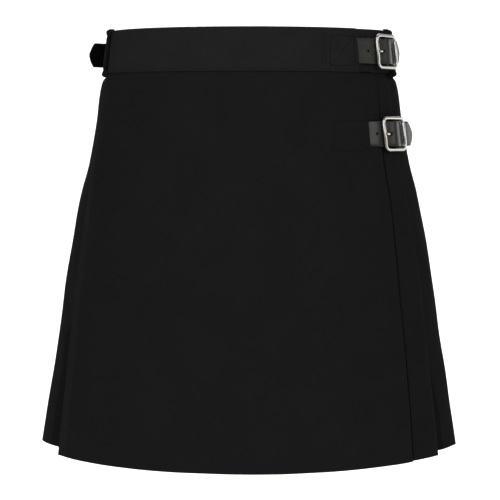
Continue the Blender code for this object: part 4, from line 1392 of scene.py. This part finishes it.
    def frame(self) -> None:
        """Make the buckle's frame, thicker along its upright bars, and its centre bar."""
        place = self.place
        reach = FRAME_SIZE / 2 - FRAME_BAR / 2
        straight = reach - self.corner
        swell = self.bar_swell
        upright = ((0.03, 1.0), (0.06, swell), (0.5, swell), (0.94, swell), (0.97, 1.0))
        stations: list[tuple[float, float, float, float]] = []
        for side_s, side_v, start in ((1, 1, 0), (-1, 1, 90), (-1, -1, 180), (1, -1, 270)):
            stations += [(side_s * straight, side_v * straight, turn, 1.0)
                         for turn in np.radians(np.linspace(start, start + 90, 10))]
            if side_s != side_v:
                stations += [(side_s * straight, side_s * straight * (2 * share - 1),
                              math.radians(start + 90), swell) for share, swell in upright]
        section = [(math.copysign(abs(across) ** self.frame_square, across) * FRAME_BAR / 2,
                    math.copysign(abs(out) ** self.frame_square, out) * FRAME_THICK / 2)
                   for across, out in ((math.cos(turn), math.sin(turn)) for turn in circle(16, 0.5))]
        rings = []
        for s, v, turn, swell in stations:
            wider = 0.4 + 0.6 * swell      # the bars swell less across than outwards
            arms = [(self.corner + across * wider, out * swell) for across, out in section]
            rings.append([place.point(s + arm * math.cos(turn), v + arm * math.sin(turn), h)
                          for arm, h in arms])
        name = "buckle_" + self.fitting.name
        nickel = [Finish.NICKEL]
        item = loft(name + "_frame", [ring[::-1] for ring in rings], nickel, closed=True)
        rings = [[place.point(self.centre_bar * math.cos(turn), v,
                              -self.centre_sink + self.centre_bar * math.sin(turn))
                  for turn in circle(12)] for v in (-reach, reach)]
        combine(item, loft("bar", rings, nickel), "UNION")
        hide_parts(name)

    def prong(self) -> None:
        """Make the prong, hooked round the centre bar and resting on the first bar."""
        radius = self.centre_bar + self.clear + self.prong_radius
        hook = [(radius * math.cos(turn), -self.centre_sink + radius * math.sin(turn))
                for turn in np.radians(range(205, 451, 35))]
        line = curve_through(hook + list(self.prong_path), 4)
        to_end = np.linalg.norm(line - line[-1], axis=1)
        forward = unit(np.gradient(line, axis=0))
        rings = []
        for (s, h), (ds, dh), distance in zip(line, forward, to_end):
            nose = math.sqrt(min(1.0, (distance + self.prong_blunt) / self.prong_nose))
            ring = []
            for turn in circle(12):
                up = self.prong_radius * nose * math.sin(turn)
                v = self.prong_half * nose * math.cos(turn)
                ring.append(self.place.point(s - dh * up, v, h + ds * up))
            rings.append(ring)
        item = loft(f"prong_{self.fitting.name}_nickel", rings, [Finish.NICKEL])
        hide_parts("prong_" + self.fitting.name)

    def build(self) -> None:
        """Make the strap, the buckle and the prong, and dress the chape."""
        self.strap()
        self.frame()
        self.prong()
        chape = frame["nodes"]["chape_" + self.fitting.name]
        chape.data.materials.clear()
        chape.data.materials.append(Finish.FLESH.material())
        log.info("strap, buckle and prong %s", self.fitting.name)


# ------------------------------------------------------------------ belt loops

@dataclass
class BeltLoop:
    """A folded strip of band cloth, turned under at both ends and standing off the band between."""

    form: WornForm
    name: str
    angle: float
    front_lift: float
    width: float = 0.0125
    thick: float = 0.0024
    clear: float = 0.0005
    bulge: float = 0.0012
    top: float = 0.0290
    bottom: float = -0.0320
    slack: float = 0.0013
    rounded: float = 0.03            # share of its length over which each end is rounded
    fold: float = 0.0012             # how much thicker its turned-under ends are
    nip: float = 0.0005              # and how much thinner it is at their stitching
    pressed: float = 0.0             # how far a strap that crosses it presses it down

    # Places across the folded strip, from -1 at its back edge to 1 at its front edge, and outwards from
    # 0 to 1. The two layers part in a groove along the front edge.
    OUTLINE = ((-0.92, 0.0), (-1.0, 0.3), (-1.0, 0.7), (-0.92, 0.95), (-0.75, 1.0), (0.0, 0.97),
               (0.75, 1.0), (0.92, 0.96), (0.99, 0.82), (0.97, 0.62), (0.80, 0.50), (0.97, 0.38),
               (1.0, 0.2), (0.93, 0.03), (0.7, 0.0), (-0.6, 0.0))
    # Along the loop: where its turned-under ends are thickest and how far that reaches, by how much; the
    # same for the nips of their stitching; and the stretch that a strap presses down.
    FOLDS = ((0.06, 0.06, 1.5), (0.94, 0.05, 1.0))
    NIPS = ((0.15, 0.025, 1.0), (0.86, 0.025, 1.0))
    UNDER_STRAP = ((0.215, 0.25), (0.785, 0.75))
    # Heights between which its ends reach in over the band's edges, and how far; those over which the
    # slack goes; and the least size of its rounded ends, squared.
    WRAPS = ((0.0258, 0.0274, 0.0040), (-0.0266, -0.0285, 0.0048))
    SLACK_TOP = (0.0200, 0.0250)
    BLUNT = 0.05

    @staticmethod
    def humps(share: float, table: Sequence[tuple[float, float, float]]) -> float:
        """Sum of smooth humps, each with its place, its half width and its height."""
        return sum(high * math.exp(-((share - place) / wide) ** 2) for place, wide, high in table)

    def wrap(self, height: float) -> float:
        """How far the loop's ends reach in over the band's top edge and under its bottom edge."""
        return sum(reach * smooth_step(start, end, height) for start, end, reach in self.WRAPS)

    def build(self) -> None:
        """Make the loop, which is thicker where its ends are turned under."""
        half = math.degrees(self.width / 2 / BAND_SIZES[3])
        toward = -math.copysign(1.0, self.angle)
        rings = []
        for share in np.linspace(0.0, 1.0, 42):
            height = self.top + (self.bottom - self.top) * share
            round_end = math.sqrt(max(self.BLUNT, min(1.0, min(share, 1 - share) / self.rounded)))
            start, end = self.UNDER_STRAP
            under = smooth_step(*start, share) * smooth_step(*end, share)
            stand = self.clear + self.bulge * math.sqrt(math.sin(math.pi * share)) - self.pressed * under
            slack = self.slack * (1 - smooth_step(*self.SLACK_TOP, height))
            thick = (self.thick + self.fold * self.humps(share, self.FOLDS)
                     - self.nip * self.humps(share, self.NIPS)) * round_end
            ring = []
            for side, out in self.OUTLINE:
                lift = self.front_lift * (1 + side) / 2
                outer = stand + lift + thick
                inner = self.clear + slack * (1 + side) / 2 - self.wrap(height)
                ring.append(self.form.band_point(self.angle + half * side * toward, height,
                                                 -(inner + (outer - inner) * out)))
            rings.append(ring)
        item = loft(self.name + "_cloth", rings, [Finish.BAND])
        self.add_grain(item)
        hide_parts(self.name)
        log.info("%s", self.name)

    def add_grain(self, item: Object) -> None:
        """Lay the weave along the loop."""
        layer = item.data.uv_layers.new(name="cloth")
        for corner, vertex in zip(layer.data, (loop.vertex_index for loop in item.data.loops)):
            place = item.data.vertices[vertex].co
            corner.uv = (place.y, place.z)


# ------------------------------------------------------------------ studio

@dataclass
class Studio:
    """Pale floor, soft lights and the camera."""

    floor: float = -1.05
    eye: tuple[float, float, float] = (0.0013, -2.0, -0.08634)
    pitch: float = -4.85
    lens: float = 110.4
    room: float = 0.5
    half_wide: float = 2.4           # of the floor, which curves up behind the kilt
    front_end: float = -6.0
    bend_start: float = 2.5
    bend: float = 2.0                # radius of that curve
    top_end: float = 3.4

    def build(self) -> None:
        """Make the floor, the lights and the camera."""
        scene = bpy.context.scene
        scene.view_settings.view_transform = "Standard"
        world = bpy.data.worlds.new("studio")
        world.use_nodes = True
        background = world.node_tree.nodes["Background"]
        background.inputs["Color"].default_value = linear("#ffffff")
        background.inputs["Strength"].default_value = self.room
        scene.world = world
        floor, shiny = bpy.data.collections.new("floor_only"), bpy.data.collections.new("shiny_only")
        floor.objects.link(self.sweep())
        for item in scene.objects:
            if item.name.startswith(("strap_", "buckle_", "prong_", "chape_")):
                shiny.objects.link(item)
        front, strap = (0.0, 0.0, -0.25), (0.17, -0.05, -0.05)
        # The last five lights reach only the floor, or only the leather and the metal.
        for name, place, target, size, power, reached in (
                ("key", (-1.6, -2.1, 1.3), front, (1.6, 1.8), 36.0, None),
                ("fill", (1.7, -2.1, 1.0), front, (1.6, 1.6), 28.0, None),
                ("top", (0.0, -2.3, 2.0), front, (2.4, 1.4), 14.0, None),
                ("back", (0.0, 2.5, 1.9), front, (2.0, 1.2), 40.0, None),
                ("floor_left", (-2.6, 1.2, 1.4), (-0.6, 4.2, -0.6), (2.0, 2.0), 92.0, floor),
                ("floor_right", (2.6, 1.2, 1.4), (0.6, 4.2, -0.6), (2.0, 2.0), 92.0, floor),
                ("glint_front", (1.77, 0.05, -0.05), strap, (0.5, 0.9), 4.0, shiny),
                ("glint_right", (1.65, 0.90, -0.05), strap, (1.0, 1.0), 7.0, shiny),
                ("glint_left", (-1.50, 0.75, -0.05), (-0.17, 0.0, -0.05), (0.6, 1.0), 1.5, shiny)):
            self.softbox(name, place, target, size, power).light_linking.receiver_collection = reached
        camera = bpy.data.objects.new("camera", bpy.data.cameras.new("camera"))
        camera.location = self.eye
        camera.rotation_euler = (math.radians(90 + self.pitch), 0.0, 0.0)
        camera.data.lens = self.lens
        camera.data.sensor_width = 36.0
        scene.collection.objects.link(camera)
        scene.camera = camera

    def sweep(self) -> Object:
        """Make the floor, which curves up behind the kilt."""
        profile = [(self.front_end, 0.0), (self.bend_start, 0.0)]
        profile += [(self.bend_start + self.bend * math.sin(turn), self.bend - self.bend * math.cos(turn))
                    for turn in np.radians(np.arange(9, 91, 9))]
        profile += [(self.bend_start + self.bend, self.top_end)]
        points = [(x, y, self.floor + z) for x in (-self.half_wide, self.half_wide) for y, z in profile]
        count = len(profile)
        faces = [(index, count + index, count + index + 1, index + 1) for index in range(count - 1)]
        mesh = bpy.data.meshes.new("floor")
        mesh.from_pydata(points, [], faces)
        mesh.shade_smooth()
        mesh.materials.append(Finish.FLOOR.material())
        floor = bpy.data.objects.new("floor", mesh)
        bpy.context.scene.collection.objects.link(floor)
        return floor

    def softbox(self, name: str, place: Sequence[float], target: Sequence[float], size: Pair,
                power: float) -> Object:
        """Add a rectangular soft light.

        Args:
            name: the light's name.
            place: its middle.
            target: the point that it faces.
            size: its width and height.
            power: in watts.

        Returns:
            The light.
        """
        light = bpy.data.lights.new(name, "AREA")
        light.shape = "RECTANGLE"
        light.size, light.size_y = size
        light.energy = power
        item = bpy.data.objects.new(name, light)
        item.location = place
        item.rotation_euler = (Vector(target) - Vector(place)).to_track_quat("-Z", "Y").to_euler()
        bpy.context.scene.collection.objects.link(item)
        return item


def main() -> None:
    """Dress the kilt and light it."""
    logging.basicConfig(level=logging.INFO, format="%(name)s: %(message)s")
    form = WornForm()
    skirt = Skirt(form)
    skirt.build()
    band = Waistband(form, skirt)
    band.build()
    StrapSewing("sewing_upper", band.front_point, box=(33.2, 46.2, 0.0175, -0.0200), slant=0.9,
                tacks=((29.2, 31.9),), tack_heights=(0.0190, -0.0180)).build()
    StrapSewing("sewing_lower", form.skirt_point, box=(30.8, 48.6, -0.0870, -0.1245), slant=1.6,
                tacks=((31.6, 33.2), (43.2, 46.6)), tack_heights=(-0.0975, -0.1180)).build()
    for fitting in (UPPER, LOWER, LEFT):
        BuckledStrap(form, fitting).build()
    BeltLoop(form, "belt_loop_left", angle=-79.6, front_lift=0.0024).build()
    BeltLoop(form, "belt_loop_right", angle=78.5, front_lift=0.0010, bulge=0.0040, pressed=0.0026).build()
    Studio().build()


if __name__ == "__main__":
    main()
